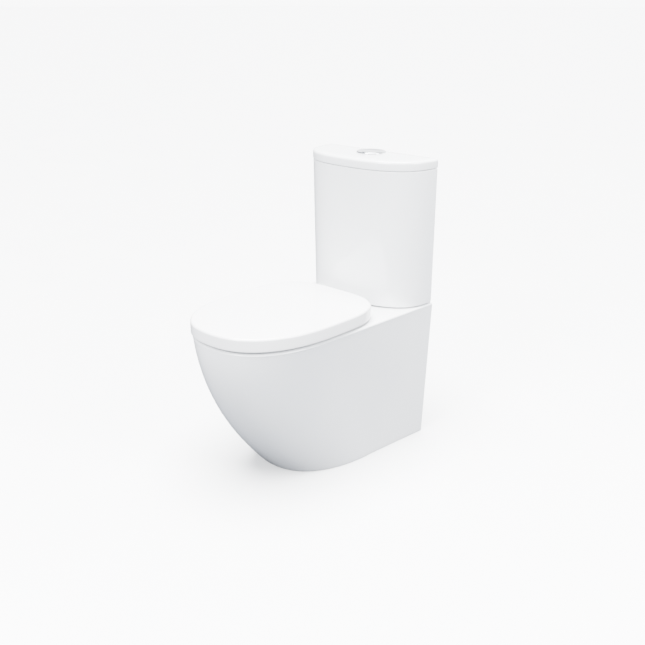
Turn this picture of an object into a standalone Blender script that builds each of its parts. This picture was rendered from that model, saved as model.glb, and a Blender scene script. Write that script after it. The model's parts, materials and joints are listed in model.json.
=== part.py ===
"""A close coupled toilet, modelled as the separate pieces it is really made of.

Plan positions are given as (x, d): x across the toilet, d the distance out from the wall.
The wall is the plane d = 0, the floor is z = 0, and the seat's front tip points to -Y.
All lengths are in metres.
"""
import math

import bmesh
import bpy
import numpy as np

# Overall sizes
TOTAL_HEIGHT = 0.800
PROJECTION = 0.646
DECK_Z = 0.400
CISTERN_HALF_WIDTH = 0.191
CISTERN_DEPTH = 0.1555
LID_HALF_WIDTH = 0.182
WALL_Y = PROJECTION / 2

# Hinge line: the lid and the seat turn on it, just in front of the cistern
HINGE_D = CISTERN_DEPTH + 0.0415
HINGE_Z = DECK_Z + 0.024
HINGE_PIN_RADIUS = 0.004

# Clearances
GAP = 0.0003
PIN_CLEARANCE = 0.0003
BOLT_CLEARANCE = 0.0020

# Pan: outside shape
RIM_CENTRE_D = 0.604 * PROJECTION
RIM_HALF_WIDTH = LID_HALF_WIDTH - 0.004
RIM_TIP_D = PROJECTION - 0.004
RIM_POWER = 2.39
FLOOR_HALF_WIDTH = 0.840 * LID_HALF_WIDTH
FLOOR_CENTRE_D = 0.320 * PROJECTION
FLOOR_TIP_D = 0.681 * PROJECTION
FLOOR_POWER = 2.29
FLOOR_WALL_HALF_WIDTH = 0.918 * LID_HALF_WIDTH
DECK_WALL_HALF_WIDTH = 0.984 * CISTERN_HALF_WIDTH
FRONT_SWEEP = 1.9
SIDE_FLARE = 2.2
RIM_ROUND = 0.005

# Pan: ceramic thickness
SKIRT_WALL = 0.013
FOOT_WIDTH = 0.022
FOOT_HEIGHT = 0.014
DECK_THICKNESS = 0.016
BOWL_WALL = 0.010
TRAP_WALL = 0.009
DECK_UNDER_Z = DECK_Z - DECK_THICKNESS

# Pan: bowl opening and the water way
BOWL_HALF_WIDTH = LID_HALF_WIDTH - 0.054
BOWL_TIP_D = PROJECTION - 0.048
BOWL_BACK_D = HINGE_D + 0.065
SUMP_TIP_D = BOWL_BACK_D + 0.3018 * (PROJECTION - BOWL_BACK_D)
BOWL_POWER = 2.2
OUTLET_Z = 0.185
OUTLET_END_D = 0.030
OUTLET_BORE_RADIUS = 0.042
DUCT_HALF_WIDTH = 0.030
DUCT_TOP_Z = DECK_Z - 0.026
DUCT_HEIGHT = 0.030
DUCT_WALL = 0.012
RECESS_WALL = 0.012
TRAP_SIDES = 16

# Valve line and the holes that go with it
VALVE_D = CISTERN_DEPTH / 2
COUPLING_X = 0.090
FILL_X = 0.135
INLET_RADIUS = 0.033
RECESS_RADIUS = 0.050
RECESS_DEPTH = 0.014
FILL_HOLE_RADIUS = 0.022
BOLT_RADIUS = 0.004

# Cistern
CISTERN_Z = DECK_Z + 0.0035
LID_TOP_Z = TOTAL_HEIGHT
LID_UNDER_Z = TOTAL_HEIGHT - 0.0257
CISTERN_TOP_Z = LID_UNDER_Z - GAP
CISTERN_WALL = 0.009
CISTERN_FLOOR_Z = CISTERN_Z + 0.012
CISTERN_BACK_D = 0.002
CISTERN_CORNER = 0.008
CISTERN_TOP_POWER = 2.58
CISTERN_BOTTOM_POWER = 2.46
BOTTOM_HALF_WIDTH = 0.983 * CISTERN_HALF_WIDTH
BOTTOM_DEPTH = 0.955 * CISTERN_DEPTH
LID_CEILING_Z = LID_TOP_Z - 0.010
LIP_DROP = 0.012

# Flush button in the cistern lid: its collar nut just clears the lid's back lip
BEZEL_RADIUS = 0.0395
BEZEL_TUBE_RADIUS = 0.0270
BEZEL_HOLE_RADIUS = BEZEL_TUBE_RADIUS + 0.0015
BEZEL_NUT_RADIUS = BEZEL_TUBE_RADIUS + 0.0048
BUTTON_D = BEZEL_NUT_RADIUS + 0.0202
BUTTON_BORE_RADIUS = 0.0233
BEZEL_TOP_Z = LID_TOP_Z + 0.0040
BEZEL_FLOOR_Z = LID_TOP_Z - 0.028
BEZEL_FLOOR_THICKNESS = 0.004
BUTTON_TOP_Z = BEZEL_TOP_Z - 0.0004
BUTTON_LOW_Z = BUTTON_TOP_Z - 0.011
BUTTON_SPLIT_X = 0.0035
ROD_X = 0.011
ROD_FORWARD = 0.015
ROD_RADIUS = 0.0018
SPRING_RADIUS = 0.0029
SPRING_WIRE = 0.0004
SPRING_COILS = 4
SPRING_STEPS = 9

# Flush valve
PIVOT_Z = TOTAL_HEIGHT - 0.084
PIVOT_D = VALVE_D - 0.005
ROCKER_HALF_THICKNESS = 0.002
ROCKER_INNER_X = 0.005
ROCKER_OUTER_X = 0.019
ROCKER_PIN_RADIUS = 0.002
PLAY = 0.001
STEM_RADIUS = 0.013
STEM_TOP_Z = PIVOT_Z - 0.026
BRIDGE_Z = PIVOT_Z - 0.150
CRANK_Z = PIVOT_Z + 0.034
HOOK_Z = PIVOT_Z + ROCKER_HALF_THICKNESS + PLAY
HOOK_D = PIVOT_D - 0.028
VALVE_RADIUS = 0.0395
VALVE_TAIL_RADIUS = 0.0285
VALVE_BORE_RADIUS = 0.0235
VALVE_RIB_X = 0.036
VALVE_POST_X = 0.030
GUIDE_BORE_RADIUS = STEM_RADIUS + 0.002

# Fill valve
FLOAT_X = FILL_X - 0.040
FILL_HEAD_Z = TOTAL_HEIGHT - 0.088
LEVER_Z = FILL_HEAD_Z + 0.0095
FLOAT_TOP_Z = FILL_HEAD_Z - 0.062
FLOAT_LOW_Z = FLOAT_TOP_Z - 0.050
FLOAT_RADIUS = 0.0215
FLOAT_WALL = 0.002
FILL_THREAD_RADIUS = 0.0103
LEVER_PIN_RADIUS = 0.0019
LEVER_PIN_X = FILL_X - 0.001

# Seat and lid
LUG_RADIUS = 0.008
LID_BACK_D = HINGE_D - 0.019
LID_EDGE_Z = DECK_Z + 0.0075
LID_HEEL_Z = DECK_Z + 0.0115
LID_CAVITY_Z = DECK_Z + 0.033
LID_CROWN_Z = DECK_Z + 0.0445
LID_SKIRT = 0.004
LID_POWER = 2.39
LID_BACK_POWER = 3.4
SEAT_INSET = 0.007
SEAT_Z = DECK_Z + 0.0053
SEAT_TOP_Z = DECK_Z + 0.0245
SEAT_BACK_D = HINGE_D + 0.025
SEAT_HOLE_HALF_WIDTH = LID_HALF_WIDTH - 0.077
SEAT_HOLE_BACK_D = BOWL_BACK_D + 0.028
SEAT_HOLE_TIP_D = BOWL_TIP_D - 0.023

# Hinges: set in from the lid's back corners, so that the pins stay under the lid
PIN_SHARE = (RIM_CENTRE_D - HINGE_D + HINGE_PIN_RADIUS) / (RIM_CENTRE_D - LID_BACK_D)
LID_HALF_WIDTH_AT_PIN = LID_HALF_WIDTH * (1 - PIN_SHARE ** LID_BACK_POWER) ** (1 / LID_BACK_POWER)
HINGE_X = LID_HALF_WIDTH_AT_PIN - 0.03919
HINGE_PIN_INNER_X = HINGE_X - 0.027
HINGE_PIN_OUTER_X = HINGE_X + 0.027
LUG_NEAR = 0.0100
LUG_FAR = 0.0215
POST_RADIUS = 0.0075
POST_HALF_WIDTH = 0.0065
POST_FOOT_Z = DECK_Z + 0.0018
POST_FOOT_RADIUS = 0.0130
POST_HEEL_D = HINGE_D - 0.0078

SIDES = (("left", -1), ("right", 1))


# ---------------------------------------------------------------- scene and materials
def clear_scene():
    for item in list(bpy.data.objects):
        bpy.data.objects.remove(item, do_unlink=True)


def material(name, colour, roughness, metallic=0.0):
    surface = bpy.data.materials.new(name)
    surface.use_nodes = True
    shader = surface.node_tree.nodes["Principled BSDF"]
    shader.inputs["Base Color"].default_value = (*colour, 1.0)
    shader.inputs["Roughness"].default_value = roughness
    shader.inputs["Metallic"].default_value = metallic
    return surface


# ---------------------------------------------------------------- plan outlines
def even(points, count):
    """Spread count + 1 points evenly along a polyline."""
    points = np.asarray(points, float)
    steps = np.linalg.norm(np.diff(points, axis=0), axis=1)
    along = np.concatenate([[0], np.cumsum(steps)])
    wanted = np.linspace(0, along[-1], count + 1)
    return np.stack([np.interp(wanted, along, points[:, axis]) for axis in (0, 1)], -1)


def quarter(half_width, centre_d, reach, power, count):
    """A quarter superellipse, from its tip on the centre line to its widest point."""
    turn = np.linspace(math.pi / 2, 0, 300)
    x = half_width * np.cos(turn).clip(0) ** (2 / power)
    d = centre_d + reach * np.sin(turn).clip(0) ** (2 / power)
    x[0] = 0
    return even(np.stack([x, d], -1), count)


def both_sides(half):
    """Mirror a half outline that runs from the front centre to the back centre."""
    other = half[1:-1][::-1] * np.array([-1, 1])
    return np.concatenate([half, other])


def inset(outline, distance, hold_wall=False):
    """Move an outline inwards; hold_wall keeps the points on the wall plane there."""
    along = np.roll(outline, -1, axis=0) - np.roll(outline, 1, axis=0)
    along /= np.linalg.norm(along, axis=1)[:, None]
    middle = outline.mean(axis=0)
    inwards = np.stack([-along[:, 1], along[:, 0]], -1)
    if np.sum((middle - outline) * inwards) < 0:
        inwards = -inwards
    moved = outline + inwards * distance
    if hold_wall:
        wall = outline[:, 1] < 1e-6
        widest = np.abs(outline[wall, 0]).max()
        moved[wall, 1] = outline[wall, 1]
        moved[wall, 0] = outline[wall, 0] * (1 - distance / widest)
    return moved


def shrink(outline, distance):
    """Scale an outline about its middle so that its sides and ends move in by distance."""
    low, high = outline.min(axis=0), outline.max(axis=0)
    middle, half = (low + high) / 2, (high - low) / 2
    return middle + (outline - middle) * (1 - distance / half)


def blend(low, high, share):
    return low + (high - low) * share


def pan_outline(z):
    share = min(max(z / DECK_Z, 0), 1)
    centre = blend(FLOOR_CENTRE_D, RIM_CENTRE_D, share)
    tip = blend(FLOOR_TIP_D, RIM_TIP_D, 1 - (1 - share) ** FRONT_SWEEP)
    width = blend(FLOOR_HALF_WIDTH, RIM_HALF_WIDTH, share ** SIDE_FLARE)
    power = blend(FLOOR_POWER, RIM_POWER, share)
    at_wall = blend(FLOOR_WALL_HALF_WIDTH, DECK_WALL_HALF_WIDTH, share)
    front = quarter(width, centre, tip - centre, power, 12)
    side = even([(width, centre), (at_wall, 0)], 4)
    back = even([(at_wall, 0), (0, 0)], 2)
    return both_sides(np.concatenate([front, side[1:], back[1:]]))


def cistern_outline(z):
    share = (z - CISTERN_Z) / (LID_TOP_Z - CISTERN_Z)
    width = blend(BOTTOM_HALF_WIDTH, CISTERN_HALF_WIDTH, share)
    depth = blend(BOTTOM_DEPTH, CISTERN_DEPTH, share)
    power = blend(CISTERN_BOTTOM_POWER, CISTERN_TOP_POWER, share)
    straight = 0.018
    front = quarter(width, straight, depth - straight, power, 13)
    turn = np.linspace(0, math.pi / 2, 4)
    corner_x = width - CISTERN_CORNER + CISTERN_CORNER * np.cos(turn)
    corner_d = CISTERN_BACK_D + CISTERN_CORNER - CISTERN_CORNER * np.sin(turn)
    corner = np.stack([corner_x, corner_d], -1)
    back = even([corner[-1], (0, CISTERN_BACK_D)], 2)
    return both_sides(np.concatenate([front, corner, back[1:]]))


def egg_outline(half_width, tip_d, back_d, centre_d, power, back_power, count=9):
    front = quarter(half_width, centre_d, tip_d - centre_d, power, count)
    back = quarter(half_width, centre_d, back_d - centre_d, back_power, count)[::-1]
    return both_sides(np.concatenate([front, back[1:]]))


def lid_outline():
    return egg_outline(LID_HALF_WIDTH, PROJECTION, LID_BACK_D, RIM_CENTRE_D,
                       LID_POWER, LID_BACK_POWER, 12)


def seat_outline():
    return egg_outline(LID_HALF_WIDTH - SEAT_INSET, PROJECTION - SEAT_INSET, SEAT_BACK_D,
                       RIM_CENTRE_D, LID_POWER, LID_BACK_POWER, 12)


def seat_hole_outline():
    middle = (SEAT_HOLE_TIP_D + SEAT_HOLE_BACK_D) / 2
    return egg_outline(SEAT_HOLE_HALF_WIDTH, SEAT_HOLE_TIP_D, SEAT_HOLE_BACK_D, middle, 2.2, 2.2)


def bowl_outline(half_width, tip_d, back_d):
    return egg_outline(half_width, tip_d, back_d, (tip_d + back_d) / 2, BOWL_POWER, BOWL_POWER)


# ---------------------------------------------------------------- solids
def face_out(work):
    """Turn the faces of a closed mesh outwards."""
    bmesh.ops.recalc_face_normals(work, faces=work.faces)
    if work.calc_volume(signed=True) < 0:
        bmesh.ops.reverse_faces(work, faces=work.faces)


def solid(name, points, faces, surface=None):
    """A new object from world points, with its faces turned outwards."""
    mesh = bpy.data.meshes.new(name)
    work = bmesh.new()
    corners = [work.verts.new(point) for point in points]
    for face in faces:
        work.faces.new([corners[index] for index in face])
    face_out(work)
    work.to_mesh(mesh)
    work.free()
    body = bpy.data.objects.new(name, mesh)
    bpy.context.collection.objects.link(body)
    if surface:
        mesh.materials.append(surface)
    return body


def stack(name, rings, surface=None, closed=False):
    """Skin a list of rings of world points; closed joins the last ring to the first."""
    count = len(rings[0])
    points = [tuple(point) for ring in rings for point in ring]
    levels = len(rings)
    faces = []
    for level in range(levels if closed else levels - 1):
        low = level * count
        high = (level + 1) % levels * count
        for index in range(count):
            after = (index + 1) % count
            faces.append((low + index, low + after, high + after, high + index))
    if not closed:
        faces.append(tuple(range(count)))
        faces.append(tuple(range((levels - 1) * count, levels * count)))
    return solid(name, points, faces, surface)


def level(outline, z):
    """Lift a plan outline to height z in world coordinates."""
    return [(x, WALL_Y - d, z) for x, d in outline]


def loft(name, sections, surface=None):
    """Skin plan outlines given as (outline, z) pairs."""
    return stack(name, [level(outline, z) for outline, z in sections], surface)


def turned(name, profile, at, surface=None, steps=24, along="Z"):
    """Turn a closed (radius, height) profile; at is (x, d) or, along X, (d, z)."""
    rings = []
    for radius, height in profile:
        ring = []
        for index in range(steps):
            turn = math.tau * index / steps
            across = max(radius, 0) * math.cos(turn)
            over = max(radius, 0) * math.sin(turn)
            if along == "Z":
                ring.append((at[0] + across, WALL_Y - at[1] + over, height))
            else:
                ring.append((height, WALL_Y - at[0] + across, at[1] + over))
        rings.append(ring)
    return stack(name, rings, surface, closed=True)


def rod(name, radius, low, high, at, surface=None, steps=24, along="Z"):
    rings = []
    for height in (low, high):
        ring = []
        for index in range(steps):
            turn = math.tau * index / steps
            across = radius * math.cos(turn)
            over = radius * math.sin(turn)
            if along == "Z":
                ring.append((at[0] + across, WALL_Y - at[1] + over, height))
            elif along == "X":
                ring.append((height, WALL_Y - at[0] + across, at[1] + over))
            else:
                ring.append((at[0] + across, WALL_Y - height, at[1] + over))
        rings.append(ring)
    return stack(name, rings, surface)


def pipe(name, outer, inner, low, high, at, surface=None, steps=24, along="Z"):
    profile = [(inner, low), (outer, low), (outer, high), (inner, high)]
    return turned(name, profile, at, surface, steps, along)


def block(name, x_span, d_span, z_span, surface=None):
    outline = [(x_span[0], d_span[0]), (x_span[1], d_span[0]),
               (x_span[1], d_span[1]), (x_span[0], d_span[1])]
    return loft(name, [(outline, z_span[0]), (outline, z_span[1])], surface)


def shaped_nut(name, reach, bore, low, high, at, surface, steps=24):
    """A nut whose plan radius is reach(angle), with a round bore."""
    turns = [math.tau * index / steps for index in range(steps)]
    outside = [(at[0] + reach(turn) * math.cos(turn), at[1] + reach(turn) * math.sin(turn))
               for turn in turns]
    inside = [(at[0] + bore * math.cos(turn), at[1] + bore * math.sin(turn)) for turn in turns]
    rings = [level(inside, low), level(outside, low), level(outside, high), level(inside, high)]
    return stack(name, rings, surface, closed=True)


def hexagon(across_flats):
    def reach(turn):
        off_middle = (turn + math.pi / 6) % (math.pi / 3) - math.pi / 6
        return across_flats / 2 / math.cos(off_middle)
    return reach


def wings(hub_radius, span, sideways=False):
    """The reach, by angle, of a hub with two wings that point along Y, or sideways along X."""
    def reach(turn):
        lobe = math.cos(turn) if sideways else math.sin(turn)
        return hub_radius + (span - hub_radius) * abs(lobe) ** 8
    return reach


def combine(body, other, operation):
    """Join other to body, or cut it away, and drop it."""
    step = body.modifiers.new("combine", "BOOLEAN")
    step.operation = operation
    step.object = other
    step.solver = "EXACT"
    graph = bpy.context.evaluated_depsgraph_get()
    result = bpy.data.meshes.new_from_object(body.evaluated_get(graph))
    before = body.data
    body.modifiers.clear()
    body.data = result
    result.name = body.name
    bpy.data.objects.remove(other, do_unlink=True)
    bpy.data.meshes.remove(before)


def join(body, *others):
    for other in others:
        combine(body, other, "UNION")


def cut(body, *others):
    for other in others:
        combine(body, other, "DIFFERENCE")


def finish(body):
    """Triangulate, drop slivers and shade the curved faces smooth."""
    work = bmesh.new()
    work.from_mesh(body.data)
    bmesh.ops.remove_doubles(work, verts=work.verts, dist=1e-6)
    bmesh.ops.triangulate(work, faces=work.faces)
    face_out(work)
    work.to_mesh(body.data)
    work.free()
    body.data.shade_smooth()
    body.data.set_sharp_from_angle(angle=math.radians(35))


def hang_on(body, x, d, z):
    """Move an object's origin to its joint without moving its shape."""
    origin = (x, WALL_Y - d, z)
    shift = np.array([origin] * len(body.data.vertices))
    flat = np.empty(len(body.data.vertices) * 3)
    body.data.vertices.foreach_get("co", flat)
    body.data.vertices.foreach_set("co", flat - shift.ravel())
    body.data.update()
    body.location = origin


# ---------------------------------------------------------------- pan
def bowl_levels():
    """Inside of the bowl from the top down: (height, half width, tip d, back d)."""
    top = BOWL_HALF_WIDTH
    return [
        (DECK_Z + 0.004, top + 0.008, BOWL_TIP_D + 0.008, BOWL_BACK_D - 0.008),
        (DECK_Z - 0.001, top + 0.002, BOWL_TIP_D + 0.002, BOWL_BACK_D - 0.002),
        (DECK_Z - 0.006, top, BOWL_TIP_D, BOWL_BACK_D),
        (DECK_Z - 0.046, top + 0.001, BOWL_TIP_D + 0.001, BOWL_BACK_D - 0.001),
        (DECK_Z - 0.056, top - 0.010, BOWL_TIP_D - 0.012, BOWL_BACK_D + 0.008),
        (0.7500 * DECK_Z, 0.84 * top, BOWL_TIP_D - 0.027, BOWL_BACK_D + 0.022),
        (0.6250 * DECK_Z, 0.71 * top, BOWL_TIP_D - 0.055, BOWL_BACK_D + 0.033),
        (0.5000 * DECK_Z, 0.56 * top, BOWL_TIP_D - 0.098, BOWL_BACK_D + 0.043),
        (0.4000 * DECK_Z, 0.44 * top, SUMP_TIP_D + 0.077, BOWL_BACK_D + 0.050),
        (0.3125 * DECK_Z, 0.36 * top, SUMP_TIP_D + 0.042, BOWL_BACK_D + 0.056),
        (0.2500 * DECK_Z, 0.30 * top, SUMP_TIP_D + 0.025, BOWL_BACK_D + 0.066),
        (0.2150 * DECK_Z, 0.22 * top, SUMP_TIP_D + 0.008, BOWL_BACK_D + 0.078),
        (0.2050 * DECK_Z, 0.12 * top, SUMP_TIP_D - 0.012, BOWL_BACK_D + 0.090),
    ]


def bowl(name, thickness):
    """The bowl as a solid: thickness 0 gives the hollow, BOWL_WALL the ceramic around it."""
    sections = []
    for z, half_width, tip, back in bowl_levels():
        outline = bowl_outline(half_width, tip, back)
        if thickness:
            outline = inset(outline, -thickness)
            z = min(z - 0.6 * thickness, DECK_Z - 0.004)
        sections.append((outline, z))
    if thickness:
        sections = sections[2:]
    return loft(name, sections)


def trap_path():
    """Centre line of the trap as (d, z, bore radius), from the sump to the outlet."""
    weir = OUTLET_Z + 0.057
    corners = np.array([
        (0.375, 0.137, 0.036), (0.338, 0.116, 0.037), (0.300, 0.114, 0.037), (0.264, 0.137, 0.037),
        (0.236, 0.182, 0.036), (0.210, weir - 0.018, 0.036), (0.176, weir, 0.037),
        (0.140, weir - 0.012, 0.038), (0.112, OUTLET_Z + 0.020, 0.040),
        (0.085, OUTLET_Z + 0.002, OUTLET_BORE_RADIUS), (0.056, OUTLET_Z, OUTLET_BORE_RADIUS),
        (OUTLET_END_D, OUTLET_Z, OUTLET_BORE_RADIUS)])
    path = []
    for index in range(len(corners) - 1):
        before = corners[max(index - 1, 0)]
        start, end = corners[index], corners[index + 1]
        after = corners[min(index + 2, len(corners) - 1)]
        for share in (0.0, 0.5):
            path.append(0.5 * (2 * start + (end - before) * share
                               + (2 * before - 5 * start + 4 * end - after) * share ** 2
                               + (3 * start - before - 3 * end + after) * share ** 3))
    path.append(corners[-1])
    return np.array(path)


def trap(name, thickness, overrun):
    """A round tube along the trap's centre line, overrun past its outlet end."""
    path = trap_path()
    if overrun:
        path = np.vstack([path, path[-1] - np.array([overrun, 0, 0])])
    along = np.gradient(path[:, :2], axis=0)
    along /= np.linalg.norm(along, axis=1)[:, None]
    along[path[:, 0] <= OUTLET_END_D] = (-1, 0)
    rings = []
    for (d, z, radius), (step_d, step_z) in zip(path, along):
        ring = []
        for index in range(TRAP_SIDES):
            turn = math.tau * index / TRAP_SIDES
            reach = radius + thickness
            side = reach * math.cos(turn)
            up = reach * math.sin(turn)
            ring.append((side, WALL_Y - (d - up * step_z), z + up * step_d))
        rings.append(ring)
    return stack(name, rings)


def pan(surface):
    rounds = [(RIM_ROUND * (1 - math.sin(turn)), RIM_ROUND * (1 - math.cos(turn)))
              for turn in np.radians([0, 30, 60, 90])]
    heights = DECK_Z * np.array([0.0075, 0.0875, 0.1875, 0.3125, 0.4500, 0.5875, 0.7250, 0.8375,
                                 0.9250, 0.9750])
    sections = [(inset(pan_outline(0), 0.0015, True), 0.0)]
    sections += [(pan_outline(z), z) for z in heights]
    sections += [(inset(pan_outline(DECK_Z), across, True), DECK_Z - down)
                 for down, across in rounds]
    body = loft("pan", sections, surface)
    cut(body, skirt_hollow())
    duct_out = block("duct", (-DUCT_HALF_WIDTH - DUCT_WALL, DUCT_HALF_WIDTH + DUCT_WALL),
                     (VALVE_D - 0.04775, BOWL_BACK_D + 0.004),
                     (DUCT_TOP_Z - DUCT_HEIGHT - 0.010, DECK_UNDER_Z + 0.004))
    boss = rod("boss", RECESS_RADIUS + RECESS_WALL, DUCT_TOP_Z - 0.014, DECK_UNDER_Z + 0.005,
               (0, VALVE_D), steps=36)
    join(body, bowl("bowl", BOWL_WALL), trap("trap", TRAP_WALL, 0), duct_out, boss)
    duct_in = block("way", (-DUCT_HALF_WIDTH, DUCT_HALF_WIDTH),
                    (VALVE_D - 0.03175, BOWL_BACK_D + 0.020),
                    (DUCT_TOP_Z - DUCT_HEIGHT, DUCT_TOP_Z))
    recess = rod("recess", RECESS_RADIUS, DECK_Z - RECESS_DEPTH, DECK_Z + 0.010,
                 (0, VALVE_D), steps=36)
    inlet = rod("inlet", INLET_RADIUS, DUCT_TOP_Z - 0.010, DECK_Z, (0, VALVE_D), steps=32)
    cut(body, bowl("hollow", 0), trap("bore", 0, 0.012), duct_in, recess, inlet)
    for _, side in SIDES:
        for x, d in ((side * HINGE_X, HINGE_D), (side * COUPLING_X, VALVE_D)):
            cut(body, rod("hole", BOLT_RADIUS + BOLT_CLEARANCE, DECK_UNDER_Z - 0.010,
                          DECK_Z + 0.010, (x, d), steps=20))
    cut(body, rod("tail", FILL_HOLE_RADIUS, DECK_UNDER_Z - 0.010, DECK_Z + 0.010,
                  (FILL_X, VALVE_D)))
    finish(body)


def skirt_hollow():
    """The space inside the skirt, open to the floor and to the wall."""
    levels = [(-0.010, FOOT_WIDTH), (FOOT_HEIGHT, FOOT_WIDTH), (FOOT_HEIGHT + 0.014, SKIRT_WALL),
              (0.130, SKIRT_WALL), (0.260, SKIRT_WALL),
              (DECK_UNDER_Z - 0.006, SKIRT_WALL), (DECK_UNDER_Z, SKIRT_WALL + 0.005)]
    sections = []
    for z, thickness in levels:
        outline = inset(pan_outline(z), thickness, True)
        outline[:, 1] = np.where(outline[:, 1] < 1e-6, -0.010, outline[:, 1])
        sections.append((outline, z))
    return loft("skirt_hollow", sections)


# ---------------------------------------------------------------- cistern and its lid
def cistern(surface):
    edge = [(CISTERN_Z, 0.0030), (CISTERN_Z + 0.0010, 0.0010), (CISTERN_Z + 0.0040, 0.0)]
    middle = [(z, 0.0) for z in np.linspace(CISTERN_Z + 0.09, CISTERN_TOP_Z - 0.09, 3)]
    top = [(CISTERN_TOP_Z - 0.0015, 0.0), (CISTERN_TOP_Z, 0.0010)]
    body = loft("cistern", [(inset(cistern_outline(z), by), z) for z, by in edge + middle + top],
                surface)
    inside = [(CISTERN_FLOOR_Z, 0.016), (CISTERN_FLOOR_Z + 0.003, 0.011),
              (CISTERN_FLOOR_Z + 0.010, CISTERN_WALL), (CISTERN_TOP_Z + 0.010, CISTERN_WALL)]
    cut(body, loft("inside", [(shrink(cistern_outline(z), by), z) for z, by in inside]))
    low, high = CISTERN_Z - 0.010, CISTERN_FLOOR_Z + 0.010
    cut(body, rod("hole", VALVE_TAIL_RADIUS + 0.0025, low, high, (0, VALVE_D), steps=32))
    cut(body, rod("hole", 0.0120, low, high, (FILL_X, VALVE_D)))
    for _, side in SIDES:
        cut(body, rod("hole", BOLT_RADIUS + 0.0012, low, high, (side * COUPLING_X, VALVE_D),
                      steps=20))
    finish(body)


def cistern_lid(surface):
    rim = cistern_outline(LID_TOP_Z)
    levels = [(LID_UNDER_Z, 0.0005), (LID_UNDER_Z + 0.0015, -0.0005),
              (LID_TOP_Z - 0.0090, -0.0005), (LID_TOP_Z - 0.0055, 0.0003),
              (LID_TOP_Z - 0.0030, 0.0022), (LID_TOP_Z - 0.0014, 0.0052),
              (LID_TOP_Z - 0.0006, 0.0110), (LID_TOP_Z, 0.0240)]
    body = loft("cistern_lid", [(shrink(rim, by), z) for z, by in levels], surface)
    lip = shrink(rim, CISTERN_WALL + 0.0020)
    join(body, loft("lip", [(lip, LID_UNDER_Z - LIP_DROP), (lip, LID_UNDER_Z + 0.005)]))
    hollow = shrink(rim, CISTERN_WALL + 0.0080)
    cut(body, loft("hollow", [(hollow, LID_UNDER_Z - LIP_DROP - 0.010), (hollow, LID_CEILING_Z)]))
    cut(body, rod("hole", BEZEL_HOLE_RADIUS, LID_UNDER_Z, LID_TOP_Z + 0.010, (0, BUTTON_D),
                  steps=36))
    finish(body)


def coupling(rubber, steel, plastic):
    """The seal and the two bolts that clamp the cistern to the pan."""
    seal = pipe("coupling_seal", RECESS_RADIUS - 0.001, RECESS_RADIUS - 0.008,
                DECK_Z - RECESS_DEPTH + GAP, CISTERN_Z - GAP, (0, VALVE_D), rubber)
    finish(seal)
    washer_low = CISTERN_FLOOR_Z + GAP
    washer_high = washer_low + 0.0034
    for label, side in SIDES:
        at = (side * COUPLING_X, VALVE_D)
        finish(pipe(f"coupling_washer_{label}", 0.0110, BOLT_RADIUS + GAP, washer_low,
                    washer_high, at, rubber, 16))
        bolt = rod(f"coupling_bolt_{label}", 0.0078, washer_high + GAP, washer_high + 0.0053, at,
                   steel, 20)
        join(bolt, rod("shank", BOLT_RADIUS, DECK_UNDER_Z - 0.038, washer_high + 0.0020, at,
                       steps=20))
        finish(bolt)
        finish(shaped_nut(f"coupling_nut_{label}", wings(0.0090, 0.0170), BOLT_RADIUS + GAP,
                          DECK_UNDER_Z - 0.0120, DECK_UNDER_Z - GAP, at, plastic))


# ---------------------------------------------------------------- button in the lid
def half_disc(radius, low_x, high_x):
    """A disc's outline kept between two x values, as (x, offset) points."""
    turns = [math.tau * index / 36 for index in range(36)]
    points = [(min(max(radius * math.cos(turn), low_x), high_x), radius * math.sin(turn))
              for turn in turns]
    for index, (x, over) in enumerate(points):
        reach = math.sqrt(max(radius ** 2 - x ** 2, 0))
        points[index] = (x, min(max(over, -reach), reach))
    tidy = [point for index, point in enumerate(points)
            if math.dist(point, points[index - 1]) > 1e-7]
    return np.array([(x, BUTTON_D + over) for x, over in tidy])


def rod_places():
    return (("full", -ROD_X), ("half", ROD_X))


def button_bezel(surface):
    flange = LID_TOP_Z + GAP
    top = BEZEL_TOP_Z
    bottom = BEZEL_FLOOR_Z - BEZEL_FLOOR_THICKNESS
    profile = [(BUTTON_BORE_RADIUS, bottom), (BEZEL_TUBE_RADIUS, bottom),
               (BEZEL_TUBE_RADIUS, flange), (BEZEL_RADIUS - 0.0006, flange),
               (BEZEL_RADIUS, flange + 0.0008),
               (BEZEL_RADIUS - 0.0010, top - 0.0012), (BEZEL_RADIUS - 0.0040, top - 0.0002),
               (BUTTON_BORE_RADIUS + 0.0100, top), (BUTTON_BORE_RADIUS + 0.0016, top - 0.0003),
               (BUTTON_BORE_RADIUS, top - 0.0016)]
    body = turned("button_bezel", profile, (0, BUTTON_D), surface, 36)
    floor = rod("floor", BUTTON_BORE_RADIUS + 0.0015, bottom, BEZEL_FLOOR_Z, (0, BUTTON_D),
                steps=36)
    join(body, floor)
    for _, x in rod_places():
        cut(body, rod("hole", ROD_RADIUS + 0.0006, bottom - 0.01, BEZEL_FLOOR_Z + 0.01,
                      (x, BUTTON_D + ROD_FORWARD), steps=12))
    finish(body)


def button_nut(surface):
    """The thin collar nut under the lid; its wings point sideways, clear of the lid's back lip."""
    high = LID_CEILING_Z - GAP
    reach = wings(BEZEL_NUT_RADIUS, BEZEL_NUT_RADIUS + 0.006, sideways=True)
    finish(shaped_nut("button_collar_nut", reach, BEZEL_TUBE_RADIUS + GAP, high - 0.010, high,
                      (0, BUTTON_D), surface, 36))


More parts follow.
